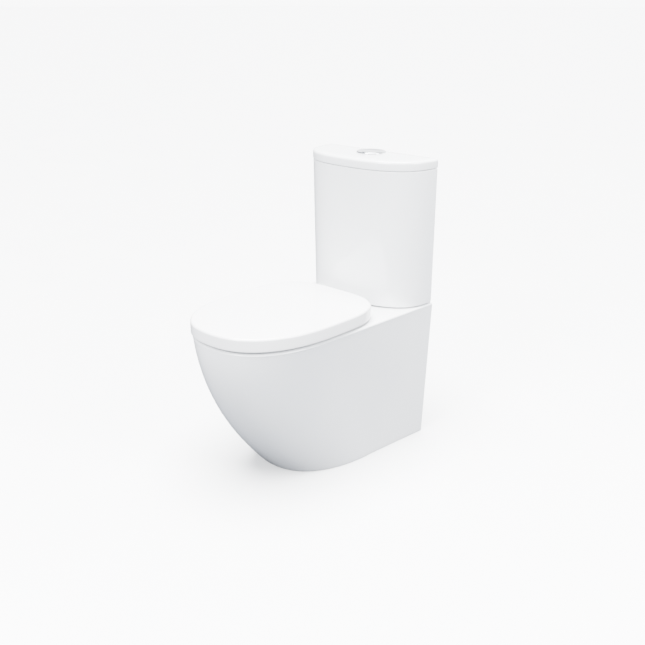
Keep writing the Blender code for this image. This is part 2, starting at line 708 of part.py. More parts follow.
def buttons(chrome, plastic):
    split = {"full": (-1.0, BUTTON_SPLIT_X - GAP), "half": (BUTTON_SPLIT_X + GAP, 1.0)}
    radius = BUTTON_BORE_RADIUS - GAP
    for label, x in rod_places():
        outline = half_disc(radius, *split[label])
        edge = inset(outline, 0.0006)
        sections = [(outline, BUTTON_LOW_Z), (outline, BUTTON_TOP_Z - 0.0006), (edge, BUTTON_TOP_Z)]
        button = loft(f"{label}_flush_button", sections, chrome)
        finish(button)
        finish(cranked_rod(f"{label}_flush_rod", x, BUTTON_LOW_Z - GAP, plastic))


def cranked_rod(name, x, high, surface):
    """A push rod whose lower half stands further out than the button, over the valve's rocker."""
    button_d, rocker_d = BUTTON_D + ROD_FORWARD, VALVE_D + ROD_FORWARD
    body = rod(name, ROD_RADIUS, CRANK_Z + 0.0010, high, (x, button_d), surface, 16)
    join(body, block("crank", (x - 0.0025, x + 0.0025), (button_d - 0.0025, rocker_d + 0.0025),
                     (CRANK_Z, CRANK_Z + 0.004)))
    join(body, rod("lower", ROD_RADIUS, PIVOT_Z + ROCKER_HALF_THICKNESS + PLAY, CRANK_Z + 0.003,
                   (x, rocker_d), steps=16))
    return body


def spring(name, at, low, high, surface):
    """A round wire coil between two heights."""
    steps = SPRING_COILS * SPRING_STEPS
    start, end = low + SPRING_WIRE, high - SPRING_WIRE
    rings = []
    for step in range(steps + 1):
        turn = math.tau * step / SPRING_STEPS
        middle = start + (end - start) * step / steps
        ring = []
        for index in range(5):
            around = math.tau * index / 5
            reach = SPRING_RADIUS + SPRING_WIRE * math.cos(around)
            ring.append((at[0] + reach * math.cos(turn), WALL_Y - at[1] + reach * math.sin(turn),
                         middle + SPRING_WIRE * math.sin(around)))
        rings.append(ring)
    finish(stack(name, rings, surface))


def button_springs(steel):
    for label, x in rod_places():
        spring(f"{label}_flush_spring", (x, BUTTON_D + ROD_FORWARD), BEZEL_FLOOR_Z + GAP,
               BUTTON_LOW_Z - GAP, steel)


# ---------------------------------------------------------------- flush valve
def flush_valve(plastic, rubber, steel):
    at = (0, VALVE_D)
    gasket_low = CISTERN_FLOOR_Z + GAP
    gasket_high = gasket_low + 0.0020
    finish(pipe("flush_valve_gasket", VALVE_RADIUS - 0.001, VALVE_TAIL_RADIUS + GAP + 0.0025,
                gasket_low, gasket_high, at, rubber, 24))
    flange = gasket_high + GAP
    seat = flange + 0.0075
    profile = [(VALVE_BORE_RADIUS, DECK_Z - 0.020), (VALVE_TAIL_RADIUS, DECK_Z - 0.020),
               (VALVE_TAIL_RADIUS, flange), (VALVE_RADIUS, flange), (VALVE_RADIUS, flange + 0.005),
               (VALVE_BORE_RADIUS + 0.003, flange + 0.005), (VALVE_BORE_RADIUS + 0.002, seat),
               (VALVE_BORE_RADIUS, seat)]
    body = turned("flush_valve_body", profile, at, plastic, 24)
    guide_z = flange + 0.082
    join(body, pipe("guide", VALVE_RADIUS, GUIDE_BORE_RADIUS, guide_z, guide_z + 0.006, at))
    join(body, pipe("bridge", VALVE_POST_X, GUIDE_BORE_RADIUS, BRIDGE_Z - 0.004, BRIDGE_Z, at))
    for x, d in ((VALVE_RIB_X, 0), (-VALVE_RIB_X, 0), (0, VALVE_RIB_X), (0, -VALVE_RIB_X)):
        join(body, block("rib", (x - 0.0025, x + 0.0025),
                         (VALVE_D + d - 0.0024, VALVE_D + d + 0.0026),
                         (flange + 0.002, guide_z + 0.003)))
    for _, side in SIDES:
        middle = side * VALVE_POST_X
        join(body, block("post", (middle - 0.004, middle + 0.004),
                         (PIVOT_D - 0.004, PIVOT_D + 0.004), (guide_z + 0.003, PIVOT_Z + 0.008)))
    cut(body, pivot_hole())
    finish(body)
    finish(rod("rocker_pin", ROCKER_PIN_RADIUS, -VALVE_POST_X - 0.004, VALVE_POST_X + 0.004,
               (PIVOT_D, PIVOT_Z), steel, 16, "X"))
    nut_high = CISTERN_Z - GAP
    finish(shaped_nut("flush_valve_nut", hexagon(0.070), VALVE_TAIL_RADIUS + GAP, nut_high - 0.009,
                      nut_high, at, plastic))
    return seat


def pivot_hole():
    """A cutter for the rocker pin's hole, right across the valve."""
    return rod("hole", ROCKER_PIN_RADIUS + PIN_CLEARANCE, -0.05, 0.05, (PIVOT_D, PIVOT_Z),
               steps=16, along="X")


def flush_rockers(plastic):
    for label, side in (("full", -1), ("half", 1)):
        inner, outer = sorted((side * ROCKER_INNER_X, side * ROCKER_OUTER_X))
        body = block(f"{label}_flush_rocker", (inner, outer), (PIVOT_D - 0.0225, PIVOT_D + 0.0250),
                     (PIVOT_Z - ROCKER_HALF_THICKNESS, PIVOT_Z + ROCKER_HALF_THICKNESS), plastic)
        join(body, rod("hub", ROCKER_PIN_RADIUS + 0.0026, inner + 0.0005, outer - 0.0005,
                       (PIVOT_D, PIVOT_Z), along="X"))
        cut(body, pivot_hole())
        finish(body)
        hang_on(body, 0, PIVOT_D, PIVOT_Z)


def flush_stem(plastic, rubber, seat):
    at = (0, VALVE_D)
    seal_low = seat + GAP
    disc_low = seal_low + 0.0027
    finish(pipe("flush_seal", 0.0300, 0.0115, seal_low, disc_low - GAP, at, rubber))
    profile = [(STEM_RADIUS - 0.002, disc_low), (0.0290, disc_low), (0.0290, disc_low + 0.003),
               (STEM_RADIUS, disc_low + 0.005), (STEM_RADIUS, STEM_TOP_Z),
               (STEM_RADIUS - 0.002, STEM_TOP_Z)]
    body = turned("flush_stem", profile, at, plastic)
    hang_hook(body, (-0.004, 0.004), STEM_TOP_Z - 0.008, VALVE_D - STEM_RADIUS + 0.001,
              -ROCKER_OUTER_X)
    finish(body)


def hang_hook(body, x_span, arm_z, arm_end_d, bar_x):
    """Add an arm, a riser behind the rockers and a bar over them, reaching sideways to bar_x."""
    low, high = x_span
    join(body, block("arm", x_span, (HOOK_D, arm_end_d), (arm_z, arm_z + 0.006)))
    join(body, block("riser", (low + 0.0001, high - 0.0001), (HOOK_D + 0.0001, HOOK_D + 0.004),
                     (arm_z + 0.0001, HOOK_Z + 0.0039)))
    join(body, block("bar", (min(low, bar_x), max(high, bar_x)), (HOOK_D - 0.0001, HOOK_D + 0.015),
                     (HOOK_Z, HOOK_Z + 0.004)))


def half_flush_float(surface):
    """The float that shuts the valve early: it slides on the stem and rests on the bridge."""
    bore = STEM_RADIUS + 0.0007
    low = BRIDGE_Z + GAP
    top = STEM_TOP_Z - 0.020
    profile = [(bore, low), (0.0225, low), (0.0225, low + 0.045), (bore + 0.0020, low + 0.047),
               (bore + 0.0020, top), (bore, top)]
    body = turned("half_flush_float", profile, (0, VALVE_D), surface)
    hang_hook(body, (0.0050, 0.0110), top - 0.007, VALVE_D - bore + 0.0004, ROCKER_OUTER_X)
    finish(body)


# ---------------------------------------------------------------- fill valve
def fill_valve(white, grey, rubber):
    at = (FILL_X, VALVE_D)
    finish(pipe("fill_valve_washer", 0.0175, 0.0110, CISTERN_FLOOR_Z + GAP, CISTERN_FLOOR_Z + 0.0033,
                at, rubber))
    flange = CISTERN_FLOOR_Z + 0.0036
    tail = DECK_Z - 0.045
    body = rod("fill_valve_body", FILL_THREAD_RADIUS, tail, FILL_HEAD_Z - 0.030, at, white)
    join(body, rod("flange", 0.0180, flange, flange + 0.004, at))
    join(body, rod("column", 0.0112, flange + 0.002, FILL_HEAD_Z - 0.010, at, steps=28))
    join(body, rod("head", 0.0190, FILL_HEAD_Z - 0.022, FILL_HEAD_Z, at, steps=28))
    for offset in (-0.0060, 0.0060):
        join(body, block("ear", (FILL_X - 0.007, FILL_X + 0.005),
                         (VALVE_D + offset - 0.0016, VALVE_D + offset + 0.0016),
                         (FILL_HEAD_Z - 0.002, LEVER_Z + 0.006)))
    cut(body, rod("hole", LEVER_PIN_RADIUS + PIN_CLEARANCE, VALVE_D - 0.02, VALVE_D + 0.02,
                  (LEVER_PIN_X, LEVER_Z), steps=16, along="Y"))
    cut(body, rod("bore", 0.0045, tail - 0.010, FILL_HEAD_Z - 0.040, at, steps=20))
    finish(body)
    nut_high = CISTERN_Z - GAP
    finish(shaped_nut("fill_valve_nut", hexagon(0.030), FILL_THREAD_RADIUS + GAP,
                      nut_high - 0.0105, nut_high, at, grey))


def fill_lever(surface):
    body = block("fill_lever", (FLOAT_X - 0.003, LEVER_PIN_X + 0.004),
                 (VALVE_D - 0.0035, VALVE_D + 0.0035), (LEVER_Z - 0.002, LEVER_Z + 0.002), surface)
    join(body, rod("pin", LEVER_PIN_RADIUS, VALVE_D - 0.0085, VALVE_D + 0.0085,
                   (LEVER_PIN_X, LEVER_Z), steps=16, along="Y"))
    finish(body)
    hang_on(body, LEVER_PIN_X, VALVE_D, LEVER_Z)


def fill_float(surface, grey):
    at = (FLOAT_X, VALVE_D)
    body = rod("float_cup", FLOAT_RADIUS, FLOAT_LOW_Z, FLOAT_TOP_Z, at, surface, 28)
    cut(body, rod("air", FLOAT_RADIUS - FLOAT_WALL, FLOAT_LOW_Z - 0.010, FLOAT_TOP_Z - 0.003, at,
                  steps=28))
    guide = pipe("guide", 0.0152, 0.0122, FLOAT_LOW_Z + 0.010, FLOAT_TOP_Z - 0.010,
                 (FILL_X, VALVE_D), steps=28)
    web = block("web", (FLOAT_X + FLOAT_RADIUS - 0.001, FILL_X - 0.0135),
                (VALVE_D - 0.004, VALVE_D + 0.004), (FLOAT_LOW_Z + 0.011, FLOAT_TOP_Z - 0.011))
    join(body, guide, web)
    finish(body)
    finish(rod("float_rod", 0.0020, FLOAT_TOP_Z + GAP, LEVER_Z - 0.003, at, grey, 16))


# ---------------------------------------------------------------- hinges
def hinge_post(label, side, surface):
    """A post on a round foot, cut square behind, with a round eye for the pin."""
    at = (side * HINGE_X, HINGE_D)
    eye = (HINGE_D, HINGE_Z)
    across = (at[0] - POST_HALF_WIDTH, at[0] + POST_HALF_WIDTH)
    post = rod(f"hinge_post_{label}", POST_FOOT_RADIUS, POST_FOOT_Z, POST_FOOT_Z + 0.0048, at,
               surface, 28)
    join(post, block("stem", across, (HINGE_D - POST_RADIUS, HINGE_D + POST_RADIUS),
                     (POST_FOOT_Z + 0.002, HINGE_Z)))
    join(post, rod("eye", POST_RADIUS, across[0], across[1], eye, steps=28, along="X"))
    cut(post, rod("pin", HINGE_PIN_RADIUS + GAP, across[0] - 0.01, across[1] + 0.01, eye,
                  steps=20, along="X"))
    cut(post, rod("bolt", BOLT_RADIUS + GAP, POST_FOOT_Z - 0.010, POST_FOOT_Z + 0.011, at, steps=20))
    cut(post, block("heel", (at[0] - 0.02, at[0] + 0.02), (POST_HEEL_D - 0.0122, POST_HEEL_D),
                    (POST_FOOT_Z - 0.010, POST_FOOT_Z + 0.010)))
    finish(post)


def hinges(chrome, steel, rubber, plastic):
    for label, side in SIDES:
        at = (side * HINGE_X, HINGE_D)
        finish(pipe(f"hinge_gasket_{label}", 0.0125, BOLT_RADIUS + GAP, DECK_Z + GAP,
                    POST_FOOT_Z - GAP, at, rubber))
        hinge_post(label, side, chrome)
        finish(rod(f"hinge_pin_{label}", HINGE_PIN_RADIUS, side * HINGE_PIN_INNER_X,
                   side * HINGE_PIN_OUTER_X, (HINGE_D, HINGE_Z), steel, 20, "X"))
        finish(rod(f"seat_bolt_{label}", BOLT_RADIUS, DECK_UNDER_Z - 0.034, POST_FOOT_Z + 0.0105, at,
                   steel, 20))
        finish(shaped_nut(f"seat_nut_{label}", wings(0.0090, 0.0160), BOLT_RADIUS + GAP,
                          DECK_UNDER_Z - 0.0110, DECK_UNDER_Z - GAP, at, plastic))


# ---------------------------------------------------------------- seat and lid
def lug(body, x_span, web_d, web_z):
    """Add a hinge lug to a seat or lid: an eye round the axis and a web to the plate."""
    join(body, block("web", (x_span[0] + 0.0003, x_span[1] - 0.0003), web_d, web_z))
    join(body, rod("eye", LUG_RADIUS, x_span[0], x_span[1], (HINGE_D, HINGE_Z), steps=28, along="X"))
    cut(body, rod("pin", HINGE_PIN_RADIUS + PIN_CLEARANCE, x_span[0] - 0.002, x_span[1] + 0.002,
                  (HINGE_D, HINGE_Z), steps=20, along="X"))


def seat(surface):
    outer = seat_outline()
    levels = [(SEAT_Z, 0.0030), (SEAT_Z + 0.0012, 0.0008), (SEAT_Z + 0.0040, 0.0),
              (SEAT_TOP_Z - 0.0060, 0.0), (SEAT_TOP_Z - 0.0028, 0.0009),
              (SEAT_TOP_Z - 0.0009, 0.0033), (SEAT_TOP_Z, 0.0080)]
    body = loft("seat", [(inset(outer, by), z) for z, by in levels], surface)
    hole = seat_hole_outline()
    flare = [(SEAT_Z - 0.004, 0.0), (SEAT_Z + 0.006, 0.0), (SEAT_TOP_Z - 0.0100, 0.0005),
             (SEAT_TOP_Z - 0.0055, 0.0022), (SEAT_TOP_Z - 0.0022, 0.0060),
             (SEAT_TOP_Z - 0.0004, 0.0125), (SEAT_TOP_Z + 0.0030, 0.0300)]
    cut(body, loft("hole", [(inset(hole, -by), z) for z, by in flare]))
    for _, side in SIDES:
        x_span = sorted((side * (HINGE_X - LUG_FAR), side * (HINGE_X - LUG_NEAR)))
        lug(body, x_span, (HINGE_D, SEAT_BACK_D + 0.018), (HINGE_Z - 0.0075, HINGE_Z))
    finish(body)
    hang_on(body, 0, HINGE_D, HINGE_Z)


def seat_buffers(rubber):
    places = {"front": (LID_HALF_WIDTH - 0.064, 0.851 * PROJECTION),
              "rear": (LID_HALF_WIDTH - 0.039, 0.511 * PROJECTION)}
    for end, (x, d) in places.items():
        for label, side in SIDES:
            finish(rod(f"seat_buffer_{end}_{label}", 0.0075, DECK_Z + GAP, SEAT_Z - GAP,
                       (side * x, d), rubber, 20))


def lid(surface):
    outer = lid_outline()
    edge = LID_EDGE_Z
    levels = [(edge, 0.0012), (edge + 0.0012, 0.0002), (edge + 0.0120, 0.0),
              (edge + 0.0245, 0.0002), (edge + 0.0285, 0.0012), (edge + 0.0310, 0.0030),
              (edge + 0.0325, 0.0060), (edge + 0.0336, 0.0120), (edge + 0.0350, 0.0280),
              (edge + 0.0362, 0.0520), (LID_CROWN_Z, 0.0850)]
    body = loft("lid", [(shrink(outer, by), z) for z, by in levels], surface)
    hollow = [(edge - 0.010, LID_SKIRT), (LID_CAVITY_Z - 0.004, LID_SKIRT),
              (LID_CAVITY_Z - 0.001, LID_SKIRT + 0.001), (LID_CAVITY_Z, LID_SKIRT + 0.004)]
    cut(body, loft("hollow", [(inset(outer, by), z) for z, by in hollow]))
    cut(body, block("heel", (-0.3, 0.3), (LID_BACK_D - 0.01, LID_BACK_D + 0.012),
                    (edge - 0.01, LID_HEEL_Z)))
    for _, side in SIDES:
        middle = side * HINGE_X
        cut(body, block("notch", (middle - 0.018, middle + 0.018),
                        (LID_BACK_D - 0.01, HINGE_D - 0.005), (edge - 0.01, LID_CAVITY_Z)))
        x_span = sorted((side * (HINGE_X + LUG_NEAR), side * (HINGE_X + LUG_FAR)))
        lug(body, x_span, (HINGE_D - 0.007, HINGE_D + 0.007), (HINGE_Z, LID_CAVITY_Z + 0.002))
    finish(body)
    hang_on(body, 0, HINGE_D, HINGE_Z)


def lid_buffers(rubber):
    places = {"front": (LID_HALF_WIDTH - 0.082, 0.859 * PROJECTION),
              "rear": (LID_HALF_WIDTH - 0.062, 0.418 * PROJECTION)}
    for end, (x, d) in places.items():
        for label, side in SIDES:
            finish(rod(f"lid_buffer_{end}_{label}", 0.0065, SEAT_TOP_Z + GAP, LID_CAVITY_Z - GAP,
                       (side * x, d), rubber, 20))


def build():
    clear_scene()
    china = material("vitreous_china", (0.88, 0.89, 0.90), 0.08)
    seat_plastic = material("seat_plastic", (0.90, 0.90, 0.90), 0.15)
    valve_plastic = material("valve_plastic", (0.82, 0.83, 0.82), 0.40)
    nut_plastic = material("nut_plastic", (0.30, 0.31, 0.33), 0.45)
    float_plastic = material("float_plastic", (0.10, 0.25, 0.45), 0.40)
    chrome = material("chrome", (0.75, 0.76, 0.78), 0.08, 1.0)
    steel = material("steel", (0.60, 0.60, 0.60), 0.30, 1.0)
    rubber = material("rubber", (0.03, 0.03, 0.03), 0.70)
    clear_rubber = material("buffer_rubber", (0.70, 0.71, 0.72), 0.50)

    pan(china)
    cistern(china)
    cistern_lid(china)
    coupling(rubber, steel, nut_plastic)
    button_bezel(chrome)
    button_nut(nut_plastic)
    buttons(chrome, valve_plastic)
    button_springs(steel)
    valve_seat_z = flush_valve(valve_plastic, rubber, steel)
    flush_rockers(nut_plastic)
    flush_stem(valve_plastic, rubber, valve_seat_z)
    half_flush_float(float_plastic)
    fill_valve(valve_plastic, nut_plastic, rubber)
    fill_lever(nut_plastic)
    fill_float(float_plastic, nut_plastic)
    hinges(chrome, steel, rubber, nut_plastic)
    seat(seat_plastic)
    seat_buffers(clear_rubber)
    lid(seat_plastic)
    lid_buffers(clear_rubber)


build()
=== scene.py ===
# %% [markdown]
# # A close coupled toilet
#
# A toilet is mostly one material, white glazed clay, so nearly everything that makes it look right
# is shape: the way the sides of the pan sweep in to a small foot, the rounding of every edge, and
# the thin dark lines where two pieces meet. The script builds the large pieces first, then the seat
# and its hinges, then the surfaces, and last the light and the camera.

# %% [markdown]
# ## Open the frame
#
# The frame holds a plain model of every piece, grouped into the bodies that move together. The
# pieces built here ride on those bodies, so the lid still opens and the buttons still press.

import json
import math

import bmesh
import bpy
import numpy as np
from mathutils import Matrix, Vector

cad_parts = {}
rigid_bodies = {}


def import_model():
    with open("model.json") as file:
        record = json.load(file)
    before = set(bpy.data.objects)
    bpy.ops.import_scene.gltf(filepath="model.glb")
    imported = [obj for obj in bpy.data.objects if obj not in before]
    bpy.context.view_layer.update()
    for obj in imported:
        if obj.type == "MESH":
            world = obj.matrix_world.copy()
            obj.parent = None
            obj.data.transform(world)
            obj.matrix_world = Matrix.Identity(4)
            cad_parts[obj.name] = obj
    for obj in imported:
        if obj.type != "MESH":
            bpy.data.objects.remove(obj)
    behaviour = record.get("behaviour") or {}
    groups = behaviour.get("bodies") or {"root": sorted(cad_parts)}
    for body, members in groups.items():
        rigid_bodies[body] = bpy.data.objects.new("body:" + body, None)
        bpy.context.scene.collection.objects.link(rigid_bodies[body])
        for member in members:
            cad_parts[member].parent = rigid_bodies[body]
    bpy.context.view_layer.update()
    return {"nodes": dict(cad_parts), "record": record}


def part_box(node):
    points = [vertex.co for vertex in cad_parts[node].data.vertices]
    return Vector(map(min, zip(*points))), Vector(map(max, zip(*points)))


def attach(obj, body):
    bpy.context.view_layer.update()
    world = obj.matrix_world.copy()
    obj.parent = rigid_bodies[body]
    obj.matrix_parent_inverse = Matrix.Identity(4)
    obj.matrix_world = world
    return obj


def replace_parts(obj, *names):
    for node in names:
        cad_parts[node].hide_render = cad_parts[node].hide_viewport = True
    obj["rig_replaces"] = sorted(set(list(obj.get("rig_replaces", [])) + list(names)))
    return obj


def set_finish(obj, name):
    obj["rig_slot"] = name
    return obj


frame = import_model()

# %% [markdown]
# ## Measure it
#
# Heights and depths are read from the frame's boxes, so that both models agree. A toilet is
# measured from the wall behind it and from the floor: d below always means the distance out from
# the wall.

# %%
WALL_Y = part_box("pan")[1].y
DECK_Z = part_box("pan")[1].z
REACH = WALL_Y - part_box("lid")[0].y
LID_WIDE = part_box("lid")[1].x
CISTERN_WIDE = 0.191
CISTERN_DEEP = 0.1555
VALVE_D = CISTERN_DEEP / 2
BUTTON_D = WALL_Y - (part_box("button_bezel")[0].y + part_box("button_bezel")[1].y) / 2
COUPLING_X = 0.090
FILL_X = 0.135
ROD_X = 0.011
ROD_FORWARD = 0.015
HINGE_D = 0.197
HINGE_X = 0.0775
HINGE_Z = DECK_Z + 0.024
HINGE_AXIS = (HINGE_D, HINGE_Z)
PIN_RADIUS = 0.004
PIN_HOLE = PIN_RADIUS + 0.0003
WIDEST_D = 0.604 * REACH
FRONT_POWER = 2.39
BACK_POWER = 3.4
BOWL_POWER = 2.2
print(f"deck {DECK_Z * 1000:.0f} mm high")
print(f"lid reaches {REACH * 1000:.0f} mm out and is {LID_WIDE * 2000:.0f} mm wide")

# %% [markdown]
# ## Curves seen from above
#
# Seen from above, sanitary ware is drawn with superellipses: an ellipse whose power is a little
# over 2, so it looks fuller at the shoulders than an oval. A quarter of one runs from its tip to
# its widest point, and the points are spread evenly along it so that the faces come out the same
# size.

# %%
def even(points, count):
    points = np.asarray(points, float)
    steps = np.linalg.norm(np.diff(points, axis=0), axis=1)
    along = np.concatenate([[0], np.cumsum(steps)])
    wanted = np.linspace(0, along[-1], count + 1)
    return np.stack([np.interp(wanted, along, points[:, axis]) for axis in (0, 1)], -1)


def quarter(half_width, centre, reach, power, count):
    turn = np.linspace(math.pi / 2, 0, 1200)
    x = half_width * np.cos(turn).clip(0) ** (2 / power)
    d = centre + reach * np.sin(turn).clip(0) ** (2 / power)
    x[0] = 0
    return even(np.stack([x, d], -1), count)


def both_sides(half):
    return np.concatenate([half, half[1:-1][::-1] * np.array([-1, 1])])


def egg(half_width, tip, back, centre, power, back_power, count):
    front = quarter(half_width, centre, tip - centre, power, count)
    rear = quarter(half_width, centre, back - centre, back_power, count)[::-1]
    return both_sides(np.concatenate([front, rear[1:]]))


lid_quarter = quarter(LID_WIDE, WIDEST_D, REACH - WIDEST_D, FRONT_POWER, 4)
print("quarter of the lid:", np.round(lid_quarter, 3).tolist())

# %% [markdown]
# ## Smaller outlines
#
# Rounded edges and wall thickness both need the same outline drawn a little smaller. `inset` moves
# every point inwards square to the edge, which keeps the wall line on the wall. `shrink` scales the
# whole outline instead: it never crosses itself at a tight corner, so it suits large steps.

# %%
def inset(outline, distance, hold_wall=False):
    along = np.roll(outline, -1, axis=0) - np.roll(outline, 1, axis=0)
    along /= np.linalg.norm(along, axis=1)[:, None]
    inwards = np.stack([-along[:, 1], along[:, 0]], -1)
    if np.sum((outline.mean(axis=0) - outline) * inwards) < 0:
        inwards = -inwards
    moved = outline + inwards * distance
    if hold_wall:
        wall = outline[:, 1] < 1e-6
        moved[wall, 1] = outline[wall, 1]
        moved[wall, 0] = outline[wall, 0] * (1 - distance / np.abs(outline[wall, 0]).max())
    return moved


def shrink(outline, distance):
    low, high = outline.min(axis=0), outline.max(axis=0)
    middle, half = (low + high) / 2, (high - low) / 2
    return middle + (outline - middle) * (1 - distance / half)


square = np.array([(1.0, 1.0), (1.0, 3.0), (-1.0, 3.0), (-1.0, 1.0)])
print("a square shrunk by 0.5:", shrink(square, 0.5).tolist())

# %% [markdown]
# ## Skin a stack of outlines
#
# Clay is cast in a mould, so its shapes change slowly with height. A stack of outlines, joined
# level by level, gives exactly that. `closed` joins the last level back to the first, which turns
# the stack into a ring or a hoop.

# %%
def stack(name, rings, closed=False):
    count, levels = len(rings[0]), len(rings)
    work = bmesh.new()
    points = [work.verts.new(point) for ring in rings for point in ring]
    for level in range(levels if closed else levels - 1):
        low, high = level * count, (level + 1) % levels * count
        for index in range(count):
            after = (index + 1) % count
            corners = (low + index, low + after, high + after, high + index)
            work.faces.new([points[corner] for corner in corners])
    if not closed:
        work.faces.new(points[:count])
        work.faces.new(points[-count:])
    bmesh.ops.recalc_face_normals(work, faces=work.faces)
    if work.calc_volume(signed=True) < 0:
        bmesh.ops.reverse_faces(work, faces=work.faces)
    mesh = bpy.data.meshes.new(name)
    work.to_mesh(mesh)
    work.free()
    body = bpy.data.objects.new(name, mesh)
    bpy.context.collection.objects.link(body)
    return body


def loft(name, sections, closed=False):
    return stack(name, [[(x, WALL_Y - d, z) for x, d in outline] for outline, z in sections], closed)


trial = loft("trial", [(square, 0.0), (square, 1.0)])
print("a trial box has", len(trial.data.polygons), "faces")
bpy.data.objects.remove(trial)

# %% [markdown]
# ## Round bars, turned pieces and blocks
#
# Buttons, pins, bolt holes and bosses are all turned shapes. A bar takes the line it runs along,
# and a turned piece takes a closed profile of radius and height.

# %%
def circle(radius, height, at, along, steps):
    ring = []
    for index in range(steps):
        turn = math.tau * index / steps
        across, over = radius * math.cos(turn), radius * math.sin(turn)
        if along == "Z":
            ring.append((at[0] + across, WALL_Y - at[1] + over, height))
        else:
            ring.append((height, WALL_Y - at[0] + across, at[1] + over))
    return ring


def bar(name, radius, low, high, at, along="Z", steps=64):
    ends = [circle(radius, height, at, along, steps) for height in (low, high)]
    return stack(name, ends)


def turned(name, profile, at, along="Z", steps=128):
    rings = [circle(radius, height, at, along, steps) for radius, height in profile]
    return stack(name, rings, closed=True)


def block(name, x_span, d_span, z_span):
    corners = [(x_span[0], d_span[0]), (x_span[1], d_span[0]),
               (x_span[1], d_span[1]), (x_span[0], d_span[1])]
    return loft(name, [(corners, z_span[0]), (corners, z_span[1])])


# %% [markdown]
# ## Join and cut
#
# Two clay pieces are stuck together wet and become one, and holes are cut before firing. Booleans
# do the same. The result is kept at once, so the tool shape can be thrown away.

# %%
def combine(body, tool, operation):
    step = body.modifiers.new("combine", "BOOLEAN")
    step.operation, step.object, step.solver = operation, tool, "EXACT"
    graph = bpy.context.evaluated_depsgraph_get()
    result = bpy.data.meshes.new_from_object(body.evaluated_get(graph))
    body.modifiers.clear()
    body.data = result
    bpy.data.objects.remove(tool)


def join(body, *others):
    for other in others:
        combine(body, other, "UNION")


def cut(body, *others):
    for other in others:
        combine(body, other, "DIFFERENCE")


# %% [markdown]
# ## Smooth the shading and put the piece in its place
#
# Edges sharper than a limit stay crisp and everything else shades as one curve. Weighted normals
# let the large flat faces win over the narrow rounded strips beside them, which is what keeps a
# flat deck looking flat in reflections.

# %%
def settle(body, node, rides_on, finish_slot, crisp=34):
    body.data.shade_smooth()
    body.data.set_sharp_from_angle(angle=math.radians(crisp))
    flat = body.modifiers.new("flat faces win", "WEIGHTED_NORMAL")
    flat.keep_sharp = True
    flat.weight = 90
    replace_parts(body, node)
    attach(body, rides_on)
    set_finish(body, finish_slot)
    low, high = (np.array(corner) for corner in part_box(node))
    size = np.round((high - low) * 1000).tolist()
    print(f"{body.name}: {len(body.data.polygons)} faces, the frame's box is {size} mm")


# %% [markdown]
# ## The pan from above, at any height
#
# The foot is short and narrow so that a mop can pass, and the rim is long and wide. Between them
# the front sweeps out quickly at first and is upright by the time it reaches the rim, while the
# sides open slowly. The back always ends on the wall.

# %%
def between(low, high, share):
    return low + (high - low) * share


def pan_outline(z):
    share = min(max(z / DECK_Z, 0), 1)
    centre = between(0.320 * REACH, WIDEST_D, share)
    tip = between(0.681 * REACH, REACH - 0.004, 1 - (1 - share) ** 1.9)
    width = between(0.840 * LID_WIDE, LID_WIDE - 0.004, share**2.2)
    power = between(2.29, FRONT_POWER, share)
    at_wall = between(0.918 * LID_WIDE, 0.984 * CISTERN_WIDE, share)
    front = quarter(width, centre, tip - centre, power, 44)
    side = even([(width, centre), (at_wall, 0)], 14)
    back = even([(at_wall, 0), (0, 0)], 4)
    return both_sides(np.concatenate([front, side[1:], back[1:]]))


for height in (0, 0.2, 0.4):
    outline = pan_outline(height)
    half_width, out = outline.max(axis=0)
    print(f"at {height * 1000:.0f} mm: {half_width * 2000:.0f} wide, {out * 1000:.0f} out")

# %% [markdown]
# ## The pan's outer skin
#
# The levels sit closer together near the floor, where the shape turns fastest. The last few round
# the rim: each one is drawn smaller by the amount a quarter circle asks for.

# %%
def quarter_round(radius, steps):
    turns = np.linspace(0, math.pi / 2, steps)
    return [(radius * (1 - math.cos(turn)), radius * (1 - math.sin(turn))) for turn in turns]


RIM_ROUND = 0.005
deck_outline = pan_outline(DECK_Z)
levels = DECK_Z * (np.linspace(0, 1, 40) ** 1.25 * 0.985)
sections = [(inset(pan_outline(0), 0.0015, True), 0.0)]
sections += [(inset(pan_outline(0.001), 0.0004, True), 0.0008)]
sections += [(pan_outline(z), z) for z in levels[levels > 0.003]]
sections += [(inset(deck_outline, by, True), DECK_Z - down) for by, down in quarter_round(RIM_ROUND, 7)]
pan = loft("pan_china", sections)
print("outer skin has", len(sections), "levels")

# %% [markdown]
# ## The hollow behind the skirt
#
# Only the outside is a full shape. Behind it the pan is a 13 mm wall, open to the floor and to the
# wall so that the plumber can reach the pipe, with a thicker foot to stand on and a 16 mm deck on
# top.

# %%
WALL = 0.013
FOOT_WALL = 0.022
hollow = []
foot_levels = [(-0.01, FOOT_WALL), (0.014, FOOT_WALL), (0.02, 0.017), (0.028, WALL)]
side_levels = [(0.1, WALL), (0.18, WALL), (0.26, WALL), (0.34, WALL), (DECK_Z - 0.022, WALL)]
deck_levels = [(DECK_Z - 0.0175, WALL + 0.0015), (DECK_Z - 0.016, WALL + 0.005)]
for z, thick in foot_levels + side_levels + deck_levels:
    outline = inset(pan_outline(z), thick, True)
    outline[:, 1] = np.where(outline[:, 1] < 1e-6, -0.01, outline[:, 1])
    hollow.append((outline, z))
cut(pan, loft("hollow", hollow))
print("skirt wall", WALL * 1000, "mm")
